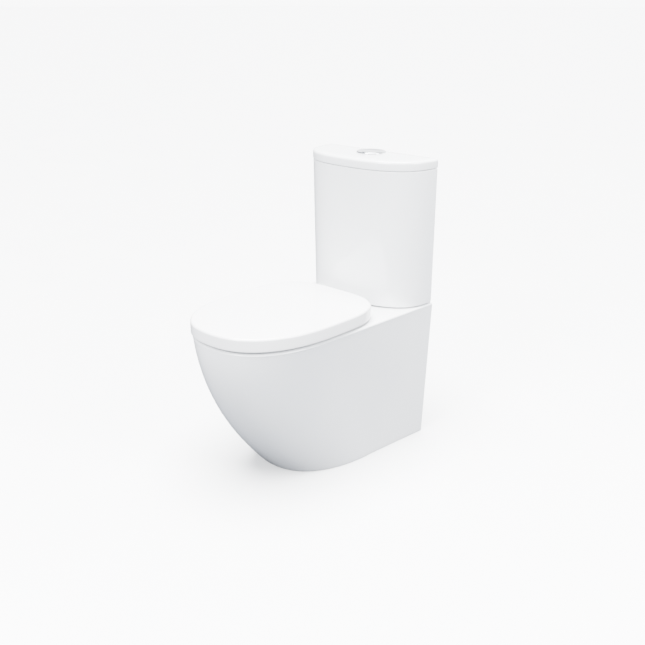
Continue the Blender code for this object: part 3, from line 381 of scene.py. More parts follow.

# %% [markdown]
# ## The bowl
#
# The bowl is an egg that narrows into a small deep sump. Under the rim a straight band guides the
# flush water round, and a ledge below it stops the water leaving before it has gone all the way
# round. The levels are listed and a smooth curve is run through them, so that the inside reads
# as one glazed surface.

# %%
top_wide, tip_d, back_d = LID_WIDE - 0.054, REACH - 0.048, 0.262
sump_d = 0.585 * REACH
bowl_levels = np.array([
    (DECK_Z - 0.056, top_wide - 0.010, tip_d - 0.012, back_d + 0.008),
    (0.300, 0.84 * top_wide, tip_d - 0.027, back_d + 0.022),
    (0.250, 0.71 * top_wide, tip_d - 0.055, back_d + 0.033),
    (0.200, 0.56 * top_wide, tip_d - 0.098, back_d + 0.043),
    (0.160, 0.44 * top_wide, sump_d + 0.077, back_d + 0.050),
    (0.125, 0.36 * top_wide, sump_d + 0.042, back_d + 0.056),
    (0.100, 0.30 * top_wide, sump_d + 0.025, back_d + 0.066),
    (0.086, 0.22 * top_wide, sump_d + 0.008, back_d + 0.078),
    (0.082, 0.12 * top_wide, sump_d - 0.012, back_d + 0.090),
])


def smooth_through(rows, parts):
    rows = np.vstack([2 * rows[0] - rows[1], rows, 2 * rows[-1] - rows[-2]])
    shares = np.linspace(0, 1, parts, endpoint=False)[:, None]
    pieces = []
    for a, b, c, d in zip(rows, rows[1:], rows[2:], rows[3:]):
        pieces.append(0.5 * (2 * b + (c - a) * shares + (2 * a - 5 * b + 4 * c - d) * shares**2
                             + (3 * b - a - 3 * c + d) * shares**3))
    return np.vstack([*pieces, rows[-2]])


body_levels = smooth_through(bowl_levels, 4)
print("bowl drawn with", len(body_levels), "levels")

# %% [markdown]
# The mouth of the bowl is rounded over into the deck, and the water's band is a straight wall with
# the ledge as a soft step below it.

# %%
MOUTH_ROUND = 0.007
BOWL_WALL = 0.010
mouth = [(DECK_Z + 0.002, MOUTH_ROUND + 0.002)]
mouth += [(DECK_Z - down, inwards) for down, inwards in quarter_round(MOUTH_ROUND, 8)[:-1]]
mouth += [(DECK_Z - 0.007, 0.0), (DECK_Z - 0.026, 0.0003), (DECK_Z - 0.044, 0.001)]
mouth += [(DECK_Z - 0.048, 0.0002), (DECK_Z - 0.051, -0.0030), (DECK_Z - 0.053, -0.0065)]


def bowl_outline(wide, tip, back):
    return egg(wide, tip, back, (tip + back) / 2, BOWL_POWER, BOWL_POWER, 28)


inside = [(bowl_outline(top_wide + out, tip_d + out, back_d - out), z) for z, out in mouth]
inside += [(bowl_outline(wide, tip, back), z) for z, wide, tip, back in body_levels]
top_outline = bowl_outline(top_wide + BOWL_WALL, tip_d + BOWL_WALL, back_d - BOWL_WALL)
outside = [(top_outline, DECK_Z - 0.004)]
for z, wide, tip, back in body_levels:
    outside.append((inset(bowl_outline(wide, tip, back), -BOWL_WALL), z - 0.006))
print("mouth of the bowl", round(top_wide * 2000), "mm wide")
print("mouth of the bowl", round((tip_d - back_d) * 1000), "mm long")

# %% [markdown]
# ## The trap
#
# Behind the bowl a round pipe dips, climbs over a weir and drops to the outlet. The dip stays full
# of water and keeps the drain's air out. It is a circle carried along a curve in the middle plane,
# 72 mm wide at the start and 84 mm at the outlet.

# %%
OUTLET_Z = 0.185
OUTLET_D = 0.030
weir = OUTLET_Z + 0.057
trap_line = smooth_through(np.array([
    (0.375, 0.137, 0.036), (0.338, 0.116, 0.037), (0.300, 0.114, 0.037), (0.264, 0.137, 0.037),
    (0.236, 0.182, 0.036), (0.210, weir - 0.018, 0.036), (0.176, weir, 0.037), (0.140, weir - 0.012, 0.038),
    (0.112, OUTLET_Z + 0.020, 0.040), (0.085, OUTLET_Z + 0.002, 0.042), (0.056, OUTLET_Z, 0.042),
    (OUTLET_D, OUTLET_Z, 0.042)]), 4)


def pipe_along(name, line, thickness):
    along = np.gradient(line[:, :2], axis=0)
    along /= np.linalg.norm(along, axis=1)[:, None]
    along[line[:, 0] < OUTLET_D + 0.001] = (-1, 0)
    rings = []
    for (d, z, radius), (step_d, step_z) in zip(line, along):
        turns = [math.tau * index / 40 for index in range(40)]
        reach = radius + thickness
        rings.append([(reach * math.cos(turn), WALL_Y - (d - reach * math.sin(turn) * step_z),
                       z + reach * math.sin(turn) * step_d) for turn in turns])
    return stack(name, rings)


trap_outside = pipe_along("trap", trap_line, 0.009)
trap_inside = pipe_along("bore", np.vstack([trap_line, trap_line[-1] - np.array([0.012, 0, 0])]), 0)
print("trap line has", len(trap_line), "points")

# %% [markdown]
# ## Put the pan together
#
# All the clay is joined first and all the hollows are cut afterwards, so that no hollow is filled
# again by a later piece. The flush way is a flat duct from the cistern's outlet to a slot at the
# back of the bowl.

# %%
duct_top = DECK_Z - 0.026
join(pan, loft("bowl", outside), trap_outside)
join(pan, block("duct", (-0.042, 0.042), (0.030, back_d + 0.004), (duct_top - 0.040, DECK_Z - 0.012)))
join(pan, bar("boss", 0.062, duct_top - 0.014, DECK_Z - 0.011, (0, VALVE_D)))
cut(pan, loft("bowl", inside), trap_inside)
cut(pan, block("way", (-0.030, 0.030), (0.046, back_d + 0.020), (duct_top - 0.030, duct_top)))
cut(pan, bar("recess", 0.050, DECK_Z - 0.014, DECK_Z + 0.01, (0, VALVE_D)))
cut(pan, bar("inlet", 0.033, duct_top - 0.010, DECK_Z, (0, VALVE_D)))
for x, d, radius in ((HINGE_X, HINGE_D, 0.006), (-HINGE_X, HINGE_D, 0.006),
                     (COUPLING_X, VALVE_D, 0.006), (-COUPLING_X, VALVE_D, 0.006),
                     (FILL_X, VALVE_D, 0.022)):
    cut(pan, bar("hole", radius, DECK_Z - 0.03, DECK_Z + 0.01, (x, d), steps=32))
settle(pan, "pan", "toilet", "vitreous_china")

# %% [markdown]
# ## The cistern
#
# Seen from above the cistern is a D: flat against the wall, with one full curve in front. It
# narrows a few millimetres towards the pan. The small corners at the wall are rounded with a plain
# arc.

# %%
FOOT_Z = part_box("cistern")[0].z
TOP_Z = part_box("cistern_lid")[1].z
UNDER_Z = TOP_Z - 0.0257
CISTERN_WALL = 0.009


def cistern_outline(z):
    share = (z - FOOT_Z) / (TOP_Z - FOOT_Z)
    width = between(0.983 * CISTERN_WIDE, CISTERN_WIDE, share)
    depth = between(0.955 * CISTERN_DEEP, CISTERN_DEEP, share)
    front = quarter(width, 0.018, depth - 0.018, between(2.46, 2.58, share), 48)
    turn = np.linspace(0, math.pi / 2, 8)
    corner = np.stack([width - 0.008 + 0.008 * np.cos(turn), 0.010 - 0.008 * np.sin(turn)], -1)
    back = even([corner[-1], (0, 0.002)], 4)
    return both_sides(np.concatenate([front, corner, back[1:]]))


def rounded_loft(name, outline_at, low, high, low_round, high_round, middle=12):
    bottom, top = outline_at(low), outline_at(high)
    between_rounds = np.linspace(low + low_round, high - high_round, middle)[1:-1]
    sections = [(shrink(bottom, by), low + up) for by, up in quarter_round(low_round, 6)[::-1]]
    sections += [(outline_at(z), z) for z in between_rounds]
    sections += [(shrink(top, by), high - down) for by, down in quarter_round(high_round, 6)]
    return loft(name, sections)


cistern = rounded_loft("cistern_china", cistern_outline, FOOT_Z, UNDER_Z - 0.0012, 0.0035, 0.0028)
floor_z = FOOT_Z + 0.012
inside = [(floor_z, 0.016), (floor_z + 0.001, 0.013), (floor_z + 0.004, 0.0105)]
inside += [(floor_z + 0.010, CISTERN_WALL), (UNDER_Z + 0.01, CISTERN_WALL)]
cut(cistern, loft("inside", [(shrink(cistern_outline(z), by), z) for z, by in inside]))
cut(cistern, bar("hole", 0.031, FOOT_Z - 0.01, floor_z + 0.01, (0, VALVE_D)))
for x, radius in ((FILL_X, 0.012), (COUPLING_X, 0.0052), (-COUPLING_X, 0.0052)):
    cut(cistern, bar("hole", radius, FOOT_Z - 0.01, floor_z + 0.01, (x, VALVE_D), steps=32))
settle(cistern, "cistern", "toilet", "vitreous_china")

# %% [markdown]
# ## The cistern lid
#
# The lid is a shallow cap with a generous rounding and a top that is very slightly domed, because
# clay sags if it is left dead flat. A lip below locates it in the cistern, and its lower edge is
# eased so that the joint shows as one thin dark line.

# %%
DOME = 0.0010
rim = cistern_outline(TOP_Z)
sections = [(shrink(rim, 0.0022), UNDER_Z), (shrink(rim, 0.0006), UNDER_Z + 0.0005)]
sections += [(shrink(rim, -0.0005), UNDER_Z + 0.0022)]
sections += [(shrink(rim, by - 0.0005), TOP_Z - DOME - down) for by, down in quarter_round(0.0075, 9)]
for share in (0.15, 0.35, 0.6, 0.8, 1):
    sections.append((shrink(rim, 0.0070 + 0.022 * share), TOP_Z - DOME * (1 - share) ** 2))
cistern_lid = loft("cistern_lid_china", sections)
lip = shrink(rim, 0.011)
join(cistern_lid, loft("lip", [(lip, UNDER_Z - 0.012), (lip, UNDER_Z + 0.005)]))
hollow = shrink(rim, 0.017)
ceiling = (shrink(hollow, 0.003), TOP_Z - 0.010)
cut(cistern_lid, loft("hollow", [(hollow, UNDER_Z - 0.03), (hollow, TOP_Z - 0.012), ceiling]))
cut(cistern_lid, bar("hole", 0.0285, UNDER_Z, TOP_Z + 0.01, (0, BUTTON_D), steps=96))
settle(cistern_lid, "cistern_lid", "cistern_lid", "vitreous_china")

# %% [markdown]
# ## The button's ring
#
# The ring is a turned and chromed piece. Its top rolls over into a shallow dish that leads a
# fingertip to the two buttons, so each part of the inner slope mirrors another part of the room.
# Below the lid a tube would carry the thread, closed by a floor that the two push rods pass
# through.

# %%
ring_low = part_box("button_bezel")[0].z
ring_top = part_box("button_bezel")[1].z
BORE = 0.0233
TUBE = 0.0270
FLANGE = 0.0395
ROLL = 0.0024
profile = [(BORE, ring_low + 0.004), (BORE, ring_low), (TUBE, ring_low), (TUBE, TOP_Z + 0.0003)]
profile += [(FLANGE - 0.0007, TOP_Z + 0.0003), (FLANGE - 0.0002, TOP_Z + 0.0006), (FLANGE, TOP_Z + 0.0012)]
for turn in np.linspace(0, math.pi / 2, 8):
    profile.append((FLANGE - ROLL * (1 - math.cos(turn)), TOP_Z + 0.0016 + ROLL * math.sin(turn)))
for share in np.linspace(0.1, 1, 9):
    dip = 0.0022 * math.sin(share * math.pi / 2) ** 2
    profile.append((between(FLANGE - ROLL, BORE + 0.0009, share), ring_top - dip))
profile += [(BORE + 0.0002, ring_top - 0.0027), (BORE, ring_top - 0.0034)]
ring = turned("button_ring", profile, (0, BUTTON_D))
join(ring, bar("floor", BORE + 0.0015, ring_low, ring_low + 0.004, (0, BUTTON_D), steps=96))
for x in (-ROD_X, ROD_X):
    at = (x, BUTTON_D + ROD_FORWARD)
    cut(ring, bar("hole", 0.0024, ring_low - 0.01, ring_low + 0.02, at, steps=24))
settle(ring, "button_bezel", "cistern_lid", "chrome")

# %% [markdown]
# ## The two buttons
#
# One disc is split off centre: the larger part gives a full flush and the smaller one a short
# flush. Each half is domed a little and its edges are eased, so the split shows as a fine dark line
# with a bright edge on each side.

# %%
def part_disc(radius, low_x, high_x, steps=180):
    points = []
    for index in range(steps):
        turn = math.tau * index / steps
        x = min(max(radius * math.cos(turn), low_x), high_x)
        reach = math.sqrt(max(radius**2 - x**2, 0))
        point = (x, BUTTON_D + min(max(radius * math.sin(turn), -reach), reach))
        if not points or math.dist(point, points[-1]) > 1e-6:
            points.append(point)
    return np.array(points)


EASE = 0.0009
button_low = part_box("full_flush_button")[0].z
button_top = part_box("full_flush_button")[1].z - 0.0010
for flush, span in (("full", (-1, 0.0032)), ("half", (0.0038, 1))):
    node = f"{flush}_flush_button"
    outline = part_disc(BORE - 0.0003, *span)
    sections = [(outline, button_low)]
    sections += [(shrink(outline, by), button_top - down) for by, down in quarter_round(EASE, 5)]
    for share in (0.25, 0.5, 0.75, 1):
        rise = 0.0007 * share * (2 - share)
        sections.append((shrink(outline, EASE + 0.007 * share), button_top + rise))
    settle(loft(f"{node}_cap", sections), node, f"{flush}_button", "chrome", crisp=50)

# %% [markdown]
# ## The seat
#
# The seat is a ring with a flat underside and a top that rolls over at both edges. It is skinned as
# a closed hoop: round the outside, over the top, down the inside and back underneath. The opening
# is egg shaped and its inner edge is the softest, because that is the edge people feel.

# %%
SEAT_Z = DECK_Z + 0.0053
SEAT_TOP = DECK_Z + 0.0245
CROWN = 0.0006
OUTER_ROUND = 0.0065
INNER_ROUND = 0.022
INNER_DROP = 0.0130
seat_back = HINGE_D + 0.025
outer = egg(LID_WIDE - 0.007, REACH - 0.007, seat_back, WIDEST_D, FRONT_POWER, BACK_POWER, 48)
hole_back = back_d + 0.028
hole_tip = tip_d - 0.023
hole_middle = (hole_tip + hole_back) / 2
hole = egg(LID_WIDE - 0.077, hole_tip, hole_back, hole_middle, BOWL_POWER, BOWL_POWER, 48)
sections = [(shrink(outer, by), SEAT_Z + up) for by, up in quarter_round(0.0025, 5)[::-1]]
sections += [(shrink(outer, by), SEAT_TOP - CROWN - down) for by, down in quarter_round(OUTER_ROUND, 8)]
top_outer, top_inner = shrink(outer, OUTER_ROUND), shrink(hole, -INNER_ROUND)
for share in (0.2, 0.4, 0.6, 0.8):
    rise = CROWN * math.sin(share * math.pi)
    sections.append((between(top_outer, top_inner, share), SEAT_TOP - CROWN + rise))
for turn in np.linspace(0, math.pi / 2, 12):
    drop = INNER_DROP * (1 - math.cos(turn))
    sections.append((shrink(hole, -INNER_ROUND * (1 - math.sin(turn))), SEAT_TOP - 0.0010 - drop))
sections += [(shrink(hole, -0.0001), SEAT_Z + 0.0030), (shrink(hole, -0.0012), SEAT_Z)]
seat = loft("seat_ring", sections, closed=True)
print("seat opening", round((hole_tip - hole_back) * 1000), "mm long")

# %% [markdown]
# ## Hinge lugs
#
# Seat and lid each end in two lugs that share one pin on each side: the seat's lugs sit inboard of
# the hinge post and the lid's outboard, so the two can turn on their own.

# %%
LUG_NEAR = 0.0100
LUG_FAR = 0.0215


def add_lug(body, x_span, web_d, web_z):
    join(body, block("web", (x_span[0] + 0.0003, x_span[1] - 0.0003), web_d, web_z))
    join(body, bar("eye", 0.008, x_span[0], x_span[1], HINGE_AXIS, "X", 48))
    cut(body, bar("pin", PIN_HOLE, x_span[0] - 0.002, x_span[1] + 0.002, HINGE_AXIS, "X", 48))


for side in (-1, 1):
    x_span = sorted((side * (HINGE_X - LUG_FAR), side * (HINGE_X - LUG_NEAR)))
    add_lug(seat, x_span, (HINGE_D, seat_back + 0.018), (HINGE_Z - 0.0075, HINGE_Z))
settle(seat, "seat", "seat", "seat_plastic")

# %% [markdown]
# ## The lid
#
# The lid wraps over the seat and hides it. Its skirt is upright, the top edge rolls over with a
# radius of 6.5 mm, and the top is domed by just under 4 mm so that water runs off and the light
# slides across it.

# %%
LID_ROUND = 0.0065
edge_z = DECK_Z + 0.0075
shoulder_z = edge_z + 0.0333
crown_z = DECK_Z + 0.0445
outer = egg(LID_WIDE, REACH, HINGE_D - 0.019, WIDEST_D, FRONT_POWER, BACK_POWER, 56)
sections = [(shrink(outer, 0.0012), edge_z), (shrink(outer, 0.0004), edge_z + 0.0003)]
sections += [(outer, edge_z + up) for up in (0.0012, 0.008, 0.016)]
sections += [(shrink(outer, by), shoulder_z - down) for by, down in quarter_round(LID_ROUND, 10)]
for share in (0.02, 0.06, 0.12, 0.2, 0.3, 0.42, 0.56, 0.7, 0.85, 1):
    height = between(shoulder_z, crown_z, 1 - (1 - share) ** 2)
    sections.append((shrink(outer, LID_ROUND + 0.155 * share), height))
lid = loft("lid_shell", sections)
cavity_z = DECK_Z + 0.033
under = [(edge_z - 0.01, 0.004), (cavity_z - 0.005, 0.004), (cavity_z - 0.0025, 0.0045)]
under += [(cavity_z - 0.0008, 0.0062), (cavity_z, 0.009)]
cut(lid, loft("under", [(shrink(outer, by), z) for z, by in under]))
print("lid domed by", round((crown_z - shoulder_z) * 1000, 1), "mm")

# %% [markdown]
# The back of the skirt is cut short, or it would dig into the deck as the lid swings up, and
# notched round each post.

# %%
behind = HINGE_D - 0.03
below = edge_z - 0.01
cut(lid, block("heel", (-0.3, 0.3), (behind, HINGE_D - 0.007), (below, DECK_Z + 0.0115)))
for side in (-1, 1):
    notch = (side * HINGE_X - 0.018, side * HINGE_X + 0.018)
    cut(lid, block("notch", notch, (behind, HINGE_D - 0.005), (below, cavity_z)))
    x_span = sorted((side * (HINGE_X + LUG_NEAR), side * (HINGE_X + LUG_FAR)))
    add_lug(lid, x_span, (HINGE_D - 0.007, HINGE_D + 0.007), (HINGE_Z, cavity_z + 0.002))
settle(lid, "lid", "lid", "seat_plastic")

# %% [markdown]
# ## Hinge posts and pins
#
# The posts are chromed castings: a round foot clamped on the deck by a bolt from below, and an
# upright with an eye for the pin. The foot's top edge is eased in three small steps, and its back
# is cut off square so that the open lid can hang past it.

# %%
foot_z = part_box("hinge_post_left")[0].z
POST_RADIUS = 0.0075
POST_HALF = 0.0065
FOOT_STEPS = ((0.0004, 0), (0, 0.0004), (0, 0.0036), (0.0002, 0.0042), (0.0006, 0.0046), (0.0012, 0.0048))
PIN_STEPS = ((0.0006, 0.0505), (0.0001, 0.0508), (0, 0.0513), (0, 0.1037), (0.0001, 0.1042), (0.0006, 0.1045))
upright_d = (HINGE_D - POST_RADIUS, HINGE_D + POST_RADIUS)
for label, side in (("left", -1), ("right", 1)):
    x = side * HINGE_X
    at = (x, HINGE_D)
    post = stack(f"post_{label}", [circle(0.013 - by, foot_z + up, at, "Z", 64) for by, up in FOOT_STEPS])
    join(post, block("upright", (x - POST_HALF, x + POST_HALF), upright_d, (foot_z + 0.002, HINGE_Z)))
    join(post, bar("eye", POST_RADIUS, x - POST_HALF, x + POST_HALF, HINGE_AXIS, "X", 64))
    cut(post, bar("pin", PIN_HOLE, x - 0.02, x + 0.02, HINGE_AXIS, "X", 48))
    cut(post, bar("bolt", 0.0043, foot_z - 0.01, foot_z + 0.011, at, steps=32))
    heel_d = (HINGE_D - 0.02, HINGE_D - 0.0078)
    cut(post, block("heel", (x - 0.02, x + 0.02), heel_d, (foot_z - 0.01, foot_z + 0.01)))
    settle(post, f"hinge_post_{label}", "toilet", "chrome")
    ends = [circle(PIN_RADIUS - by, side * out, HINGE_AXIS, "X", 48) for by, out in PIN_STEPS]
    settle(stack(f"pin_{label}", ends), f"hinge_pin_{label}", "toilet", "steel")

# %% [markdown]
# ## The small parts
#
# Nuts, washers, rods and valve parts keep the frame's own shapes. Their meshes come in as loose
# triangles, so a weld closes them first. A fine bevel then eases the edges of the simple turned and
# moulded ones, which lets them catch the light.

# %%
made_here = {node for obj in bpy.context.scene.objects for node in obj.get("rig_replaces", [])}
small_parts = {name: obj for name, obj in frame["nodes"].items() if name not in made_here}
PLAIN = ("nut", "bolt", "washer", "gasket", "seal", "buffer", "rod", "rocker_pin")
for name, obj in small_parts.items():
    weld = obj.modifiers.new("weld", "WELD")
    weld.merge_threshold = 1e-5
    if any(word in name for word in PLAIN):
        ease = obj.modifiers.new("ease the edges", "BEVEL")
        ease.width, ease.segments, ease.limit_method = 0.0004, 2, "ANGLE"
        ease.angle_limit = math.radians(40)
    obj.data.shade_smooth()
    split = obj.modifiers.new("crisp edges", "EDGE_SPLIT")
    split.split_angle = math.radians(35)
print(len(small_parts), "small parts kept from the frame")

# %% [markdown]
# ## Patterns shared by the surfaces
#
# No real surface is one even value. Three small patterns cover this object, and each is built once
# as a node group: a slow drift between two values, a fine relief for bumps, and long wipe marks.
# All of them read object coordinates, so a pattern stays on its piece when the piece moves.

# %%
def new_group(name, inputs, output):
    tree = bpy.data.node_groups.new(name, "ShaderNodeTree")
    for label, value in inputs:
        tree.interface.new_socket(label, in_out="INPUT", socket_type="NodeSocketFloat").default_value = value
    tree.interface.new_socket(output, in_out="OUTPUT", socket_type="NodeSocketFloat")
    return tree


def add(tree, kind, **settings):
    node = tree.nodes.new(kind)
    for label, value in settings.items():
        setattr(node, label, value)
    return node


def wire(tree, source, target):
    tree.links.new(source, target)


drift = new_group("Slow drift", [("Scale", 6), ("Low", 0), ("High", 1)], "Value")
start, end = add(drift, "NodeGroupInput"), add(drift, "NodeGroupOutput")
place, noise = add(drift, "ShaderNodeTexCoord"), add(drift, "ShaderNodeTexNoise")
spread = add(drift, "ShaderNodeMapRange")
noise.inputs["Detail"].default_value = 3
spread.inputs["From Min"].default_value = 0.35
spread.inputs["From Max"].default_value = 0.65
wire(drift, place.outputs["Object"], noise.inputs["Vector"])
wire(drift, start.outputs["Scale"], noise.inputs["Scale"])
wire(drift, noise.outputs["Fac"], spread.inputs["Value"])
wire(drift, start.outputs["Low"], spread.inputs["To Min"])
wire(drift, start.outputs["High"], spread.inputs["To Max"])
wire(drift, spread.outputs["Result"], end.inputs["Value"])

relief = new_group("Fine relief", [("Scale", 60), ("Detail", 2)], "Height")
start, end = add(relief, "NodeGroupInput"), add(relief, "NodeGroupOutput")
place, noise = add(relief, "ShaderNodeTexCoord"), add(relief, "ShaderNodeTexNoise")
wire(relief, place.outputs["Object"], noise.inputs["Vector"])
wire(relief, start.outputs["Scale"], noise.inputs["Scale"])
wire(relief, start.outputs["Detail"], noise.inputs["Detail"])
wire(relief, noise.outputs["Fac"], end.inputs["Height"])

wipes = new_group("Wipe marks", [("Scale", 30), ("Stretch", 8), ("Low", 0), ("High", 1)], "Value")
start, end = add(wipes, "NodeGroupInput"), add(wipes, "NodeGroupOutput")
place, noise = add(wipes, "ShaderNodeTexCoord"), add(wipes, "ShaderNodeTexNoise")
turn = add(wipes, "ShaderNodeVectorRotate", rotation_type="Z_AXIS")
pull = add(wipes, "ShaderNodeVectorMath", operation="MULTIPLY")
size, spread = add(wipes, "ShaderNodeCombineXYZ"), add(wipes, "ShaderNodeMapRange")
turn.inputs["Angle"].default_value = 0.6
size.inputs["Y"].default_value = size.inputs["Z"].default_value = 1
noise.inputs["Detail"].default_value = 4
spread.inputs["From Min"].default_value = 0.4
spread.inputs["From Max"].default_value = 0.7
wire(wipes, place.outputs["Object"], turn.inputs["Vector"])
wire(wipes, turn.outputs["Vector"], pull.inputs[0])
wire(wipes, start.outputs["Stretch"], size.inputs["X"])
wire(wipes, size.outputs["Vector"], pull.inputs[1])
wire(wipes, pull.outputs["Vector"], noise.inputs["Vector"])
wire(wipes, start.outputs["Scale"], noise.inputs["Scale"])
wire(wipes, noise.outputs["Fac"], spread.inputs["Value"])
wire(wipes, start.outputs["Low"], spread.inputs["To Min"])
wire(wipes, start.outputs["High"], spread.inputs["To Max"])
wire(wipes, spread.outputs["Result"], end.inputs["Value"])
print("pattern groups:", [group.name for group in bpy.data.node_groups])

# %% [markdown]
# ## The surfaces
#
# Every surface here is built on the same plan: a base colour that wanders between two close shades,
# a roughness that drifts or shows wipe marks, and a very shallow bump. Only the numbers differ, so
# one function makes them all.

# %%
def use(tree, group, **values):
    node = add(tree, "ShaderNodeGroup", node_tree=group)
    for label, value in values.items():
        node.inputs[label].default_value = value
    return node.outputs[0]


def surface(name, shades, shade_scale, rough, bump, metallic=0.0, coat=0.0, ior=1.5, wiped=False):
    made = bpy.data.materials.new(name)
    made.use_nodes = True
    tree = made.node_tree
    shader = tree.nodes["Principled BSDF"]
    shader.inputs["Metallic"].default_value = metallic
    shader.inputs["Coat Weight"].default_value = coat
    shader.inputs["Coat Roughness"].default_value = 0.02
    shader.inputs["IOR"].default_value = ior
    mix = add(tree, "ShaderNodeMix", data_type="RGBA")
    mix.inputs[6].default_value = (*shades[0], 1)
    mix.inputs[7].default_value = (*shades[1], 1)
    wire(tree, use(tree, drift, Scale=shade_scale, Low=0, High=1), mix.inputs[0])
    wire(tree, mix.outputs[2], shader.inputs["Base Color"])
    if wiped:
        gloss = use(tree, wipes, Scale=24, Stretch=7, Low=rough[0], High=rough[1])
    else:
        gloss = use(tree, drift, Scale=shade_scale * 3, Low=rough[0], High=rough[1])
    wire(tree, gloss, shader.inputs["Roughness"])
    scale, depth = bump
    bumps = add(tree, "ShaderNodeBump")
    bumps.inputs["Distance"].default_value = depth
    wire(tree, use(tree, relief, Scale=scale, Detail=2), bumps.inputs["Height"])
    wire(tree, bumps.outputs["Normal"], shader.inputs["Normal"])
    return made


finishes = {
    "vitreous_china": surface("glazed clay", [(0.86, 0.875, 0.89), (0.89, 0.90, 0.905)],
        5, (0.03, 0.07), (45, 0.00004), coat=0.2, ior=1.52),
    "seat_plastic": surface("gloss plastic", [(0.875, 0.88, 0.885), (0.895, 0.895, 0.895)],
        6, (0.08, 0.14), (160, 0.00002), coat=0.1, wiped=True),
    "valve_plastic": surface("valve plastic", [(0.74, 0.75, 0.74), (0.80, 0.81, 0.79)],
        20, (0.35, 0.5), (900, 0.00005)),
    "nut_plastic": surface("nut plastic", [(0.19, 0.20, 0.22), (0.25, 0.26, 0.28)],
        25, (0.4, 0.55), (900, 0.00006)),
    "float_plastic": surface("float plastic", [(0.06, 0.17, 0.34), (0.08, 0.21, 0.40)],
        25, (0.35, 0.5), (900, 0.00005)),
    "chrome": surface("chrome plate", [(0.62, 0.63, 0.65), (0.68, 0.69, 0.70)],
        30, (0.03, 0.09), (300, 0.000006), metallic=1, wiped=True),
    "steel": surface("steel", [(0.48, 0.48, 0.47), (0.56, 0.56, 0.55)],
        60, (0.22, 0.4), (1200, 0.00002), metallic=1, wiped=True),
    "rubber": surface("black rubber", [(0.020, 0.020, 0.021), (0.035, 0.034, 0.033)],
        40, (0.6, 0.8), (1400, 0.00006)),
    "buffer_rubber": surface("clear rubber", [(0.62, 0.63, 0.63), (0.70, 0.71, 0.70)],
        40, (0.35, 0.5), (1000, 0.00004)),
}
print("surfaces:", sorted(finishes))

# %% [markdown]
# ## Give every piece its surface
#
# The frame's record says what each of its pieces is made of. The pieces built here carry the same
# word.

# %%
slot_of = {part["node"]: part["material_slot"] for part in frame["record"]["subparts"]}
for obj in bpy.context.scene.objects:
    if obj.type == "MESH":
        obj.data.materials.clear()
        obj.data.materials.append(finishes[obj.get("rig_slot") or slot_of[obj.name]])
used = [obj.data.materials[0] for obj in bpy.data.objects if obj.type == "MESH"]
print("pieces in each surface:", {name: used.count(made) for name, made in finishes.items()})

# %% [markdown]
# ## Floor
#
# One plain pale sheet that runs far past the camera's view. A studio keeps a bright floor from
# lighting the underside of the work by covering it with something darker just out of shot. Here the
# Light Path node does that: the camera sees the pale floor, and light that bounces off it meets a
# darker one.

# %%
bpy.ops.mesh.primitive_plane_add(size=400, location=(0, 0, 0))
floor = bpy.context.object
floor.name = "floor"
floor_shades = [(0.87, 0.875, 0.88), (0.885, 0.885, 0.885)]
floor_finish = surface("pale floor", floor_shades, 1.5, (0.6, 0.75), (60, 0.0002))
tree = floor_finish.node_tree
shader = tree.nodes["Principled BSDF"]
pale = shader.inputs["Base Color"].links[0].from_socket
seen, cover = add(tree, "ShaderNodeLightPath"), add(tree, "ShaderNodeMix", data_type="RGBA")
cover.inputs[6].default_value = (0.03, 0.036, 0.05, 1)
wire(tree, seen.outputs["Is Camera Ray"], cover.inputs[0])
wire(tree, pale, cover.inputs[7])
wire(tree, cover.outputs[2], shader.inputs["Base Color"])
floor.data.materials.append(floor_finish)
print("floor", [round(side) for side in floor.dimensions])

# %% [markdown]
# ## Light
#
# White glaze needs bright light and something darker for its curves to mirror. The main light is a
# very soft one from almost straight above, so the tops are the brightest faces. One panel stands in
# front and one to the right, and the camera looks in between them. The room itself is dim, except
# for a bright backdrop on the wall's side, for the polished metal to mirror. The camera alone sees
# a plain bright background.

# %%
def panel(name, around, above, away, size, power):
    light = bpy.data.lights.new(name, "AREA")
    light.shape = "RECTANGLE"
    light.size, light.size_y = size
    light.energy = power
    holder = bpy.data.objects.new(name, light)
    bpy.context.collection.objects.link(holder)
    turn, lift = math.radians(around), math.radians(above)
    towards = Vector((math.sin(turn) * math.cos(lift), -math.cos(turn) * math.cos(lift), math.sin(lift)))
    holder.location = Vector((0, 0, 0.4)) + towards * away
    holder.rotation_euler = (-towards).to_track_quat("-Z", "Y").to_euler()


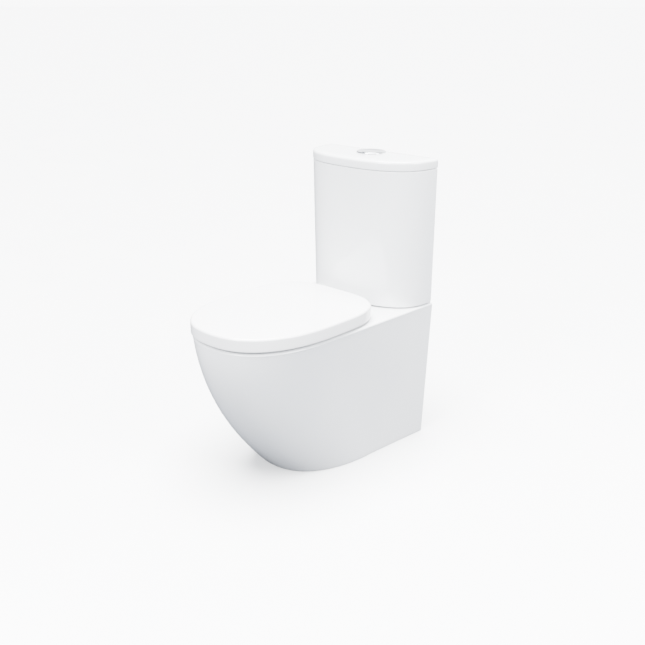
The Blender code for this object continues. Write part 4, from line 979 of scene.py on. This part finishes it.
panel("front", 5, 30, 3.2, (1.2, 1.8), 260)
panel("right", 98, 26, 3.2, (1.2, 1.8), 230)
sky = bpy.data.lights.new("overhead", "SUN")
sky.energy = 30
sky.angle = math.radians(50)
overhead = bpy.data.objects.new("overhead", sky)
bpy.context.collection.objects.link(overhead)
overhead.rotation_euler = (math.radians(4), 0, 0)

world = bpy.data.worlds.new("pale room")
bpy.context.scene.world = world
world.use_nodes = True
tree = world.node_tree
place, seen = add(tree, "ShaderNodeTexCoord"), add(tree, "ShaderNodeLightPath")
aside = add(tree, "ShaderNodeVectorMath", operation="DOT_PRODUCT")
aside.inputs[1].default_value = (-0.20, 0.98, 0.0)
fade = add(tree, "ShaderNodeMapRange", interpolation_type="SMOOTHSTEP")
fade.inputs["From Min"].default_value = 0.45
fade.inputs["From Max"].default_value = 0.85
room = add(tree, "ShaderNodeMix", data_type="RGBA")
room.inputs[6].default_value = (0.36, 0.43, 0.54, 1)
room.inputs[7].default_value = (5.0, 5.1, 5.2, 1)
final = add(tree, "ShaderNodeMix", data_type="RGBA")
final.inputs[7].default_value = (9.0, 9.1, 9.2, 1)
wire(tree, place.outputs["Generated"], aside.inputs[0])
wire(tree, aside.outputs["Value"], fade.inputs["Value"])
wire(tree, fade.outputs["Result"], room.inputs[0])
wire(tree, seen.outputs["Is Camera Ray"], final.inputs[0])
wire(tree, room.outputs[2], final.inputs[6])
wire(tree, final.outputs[2], tree.nodes["Background"].inputs["Color"])

# %% [markdown]
# ## Camera
#
# It stands in front and to one side, higher than the cistern, and looks down by 20 degrees at the
# middle of the object.

# %%
aim = Vector((0.0804, WALL_Y - 0.33, 0.4021))
around, above, away = math.radians(43.17), math.radians(19.90), 2.3
back = Vector((math.sin(around) * math.cos(above), -math.cos(around) * math.cos(above), math.sin(above)))
lens = bpy.data.cameras.new("camera")
lens.lens = 49.55
camera = bpy.data.objects.new("camera", lens)
bpy.context.collection.objects.link(camera)
camera.location = aim + back * away
camera.rotation_euler = (-back).to_track_quat("-Z", "Y").to_euler()
bpy.context.scene.camera = camera
print("camera at", [round(value, 2) for value in camera.location])
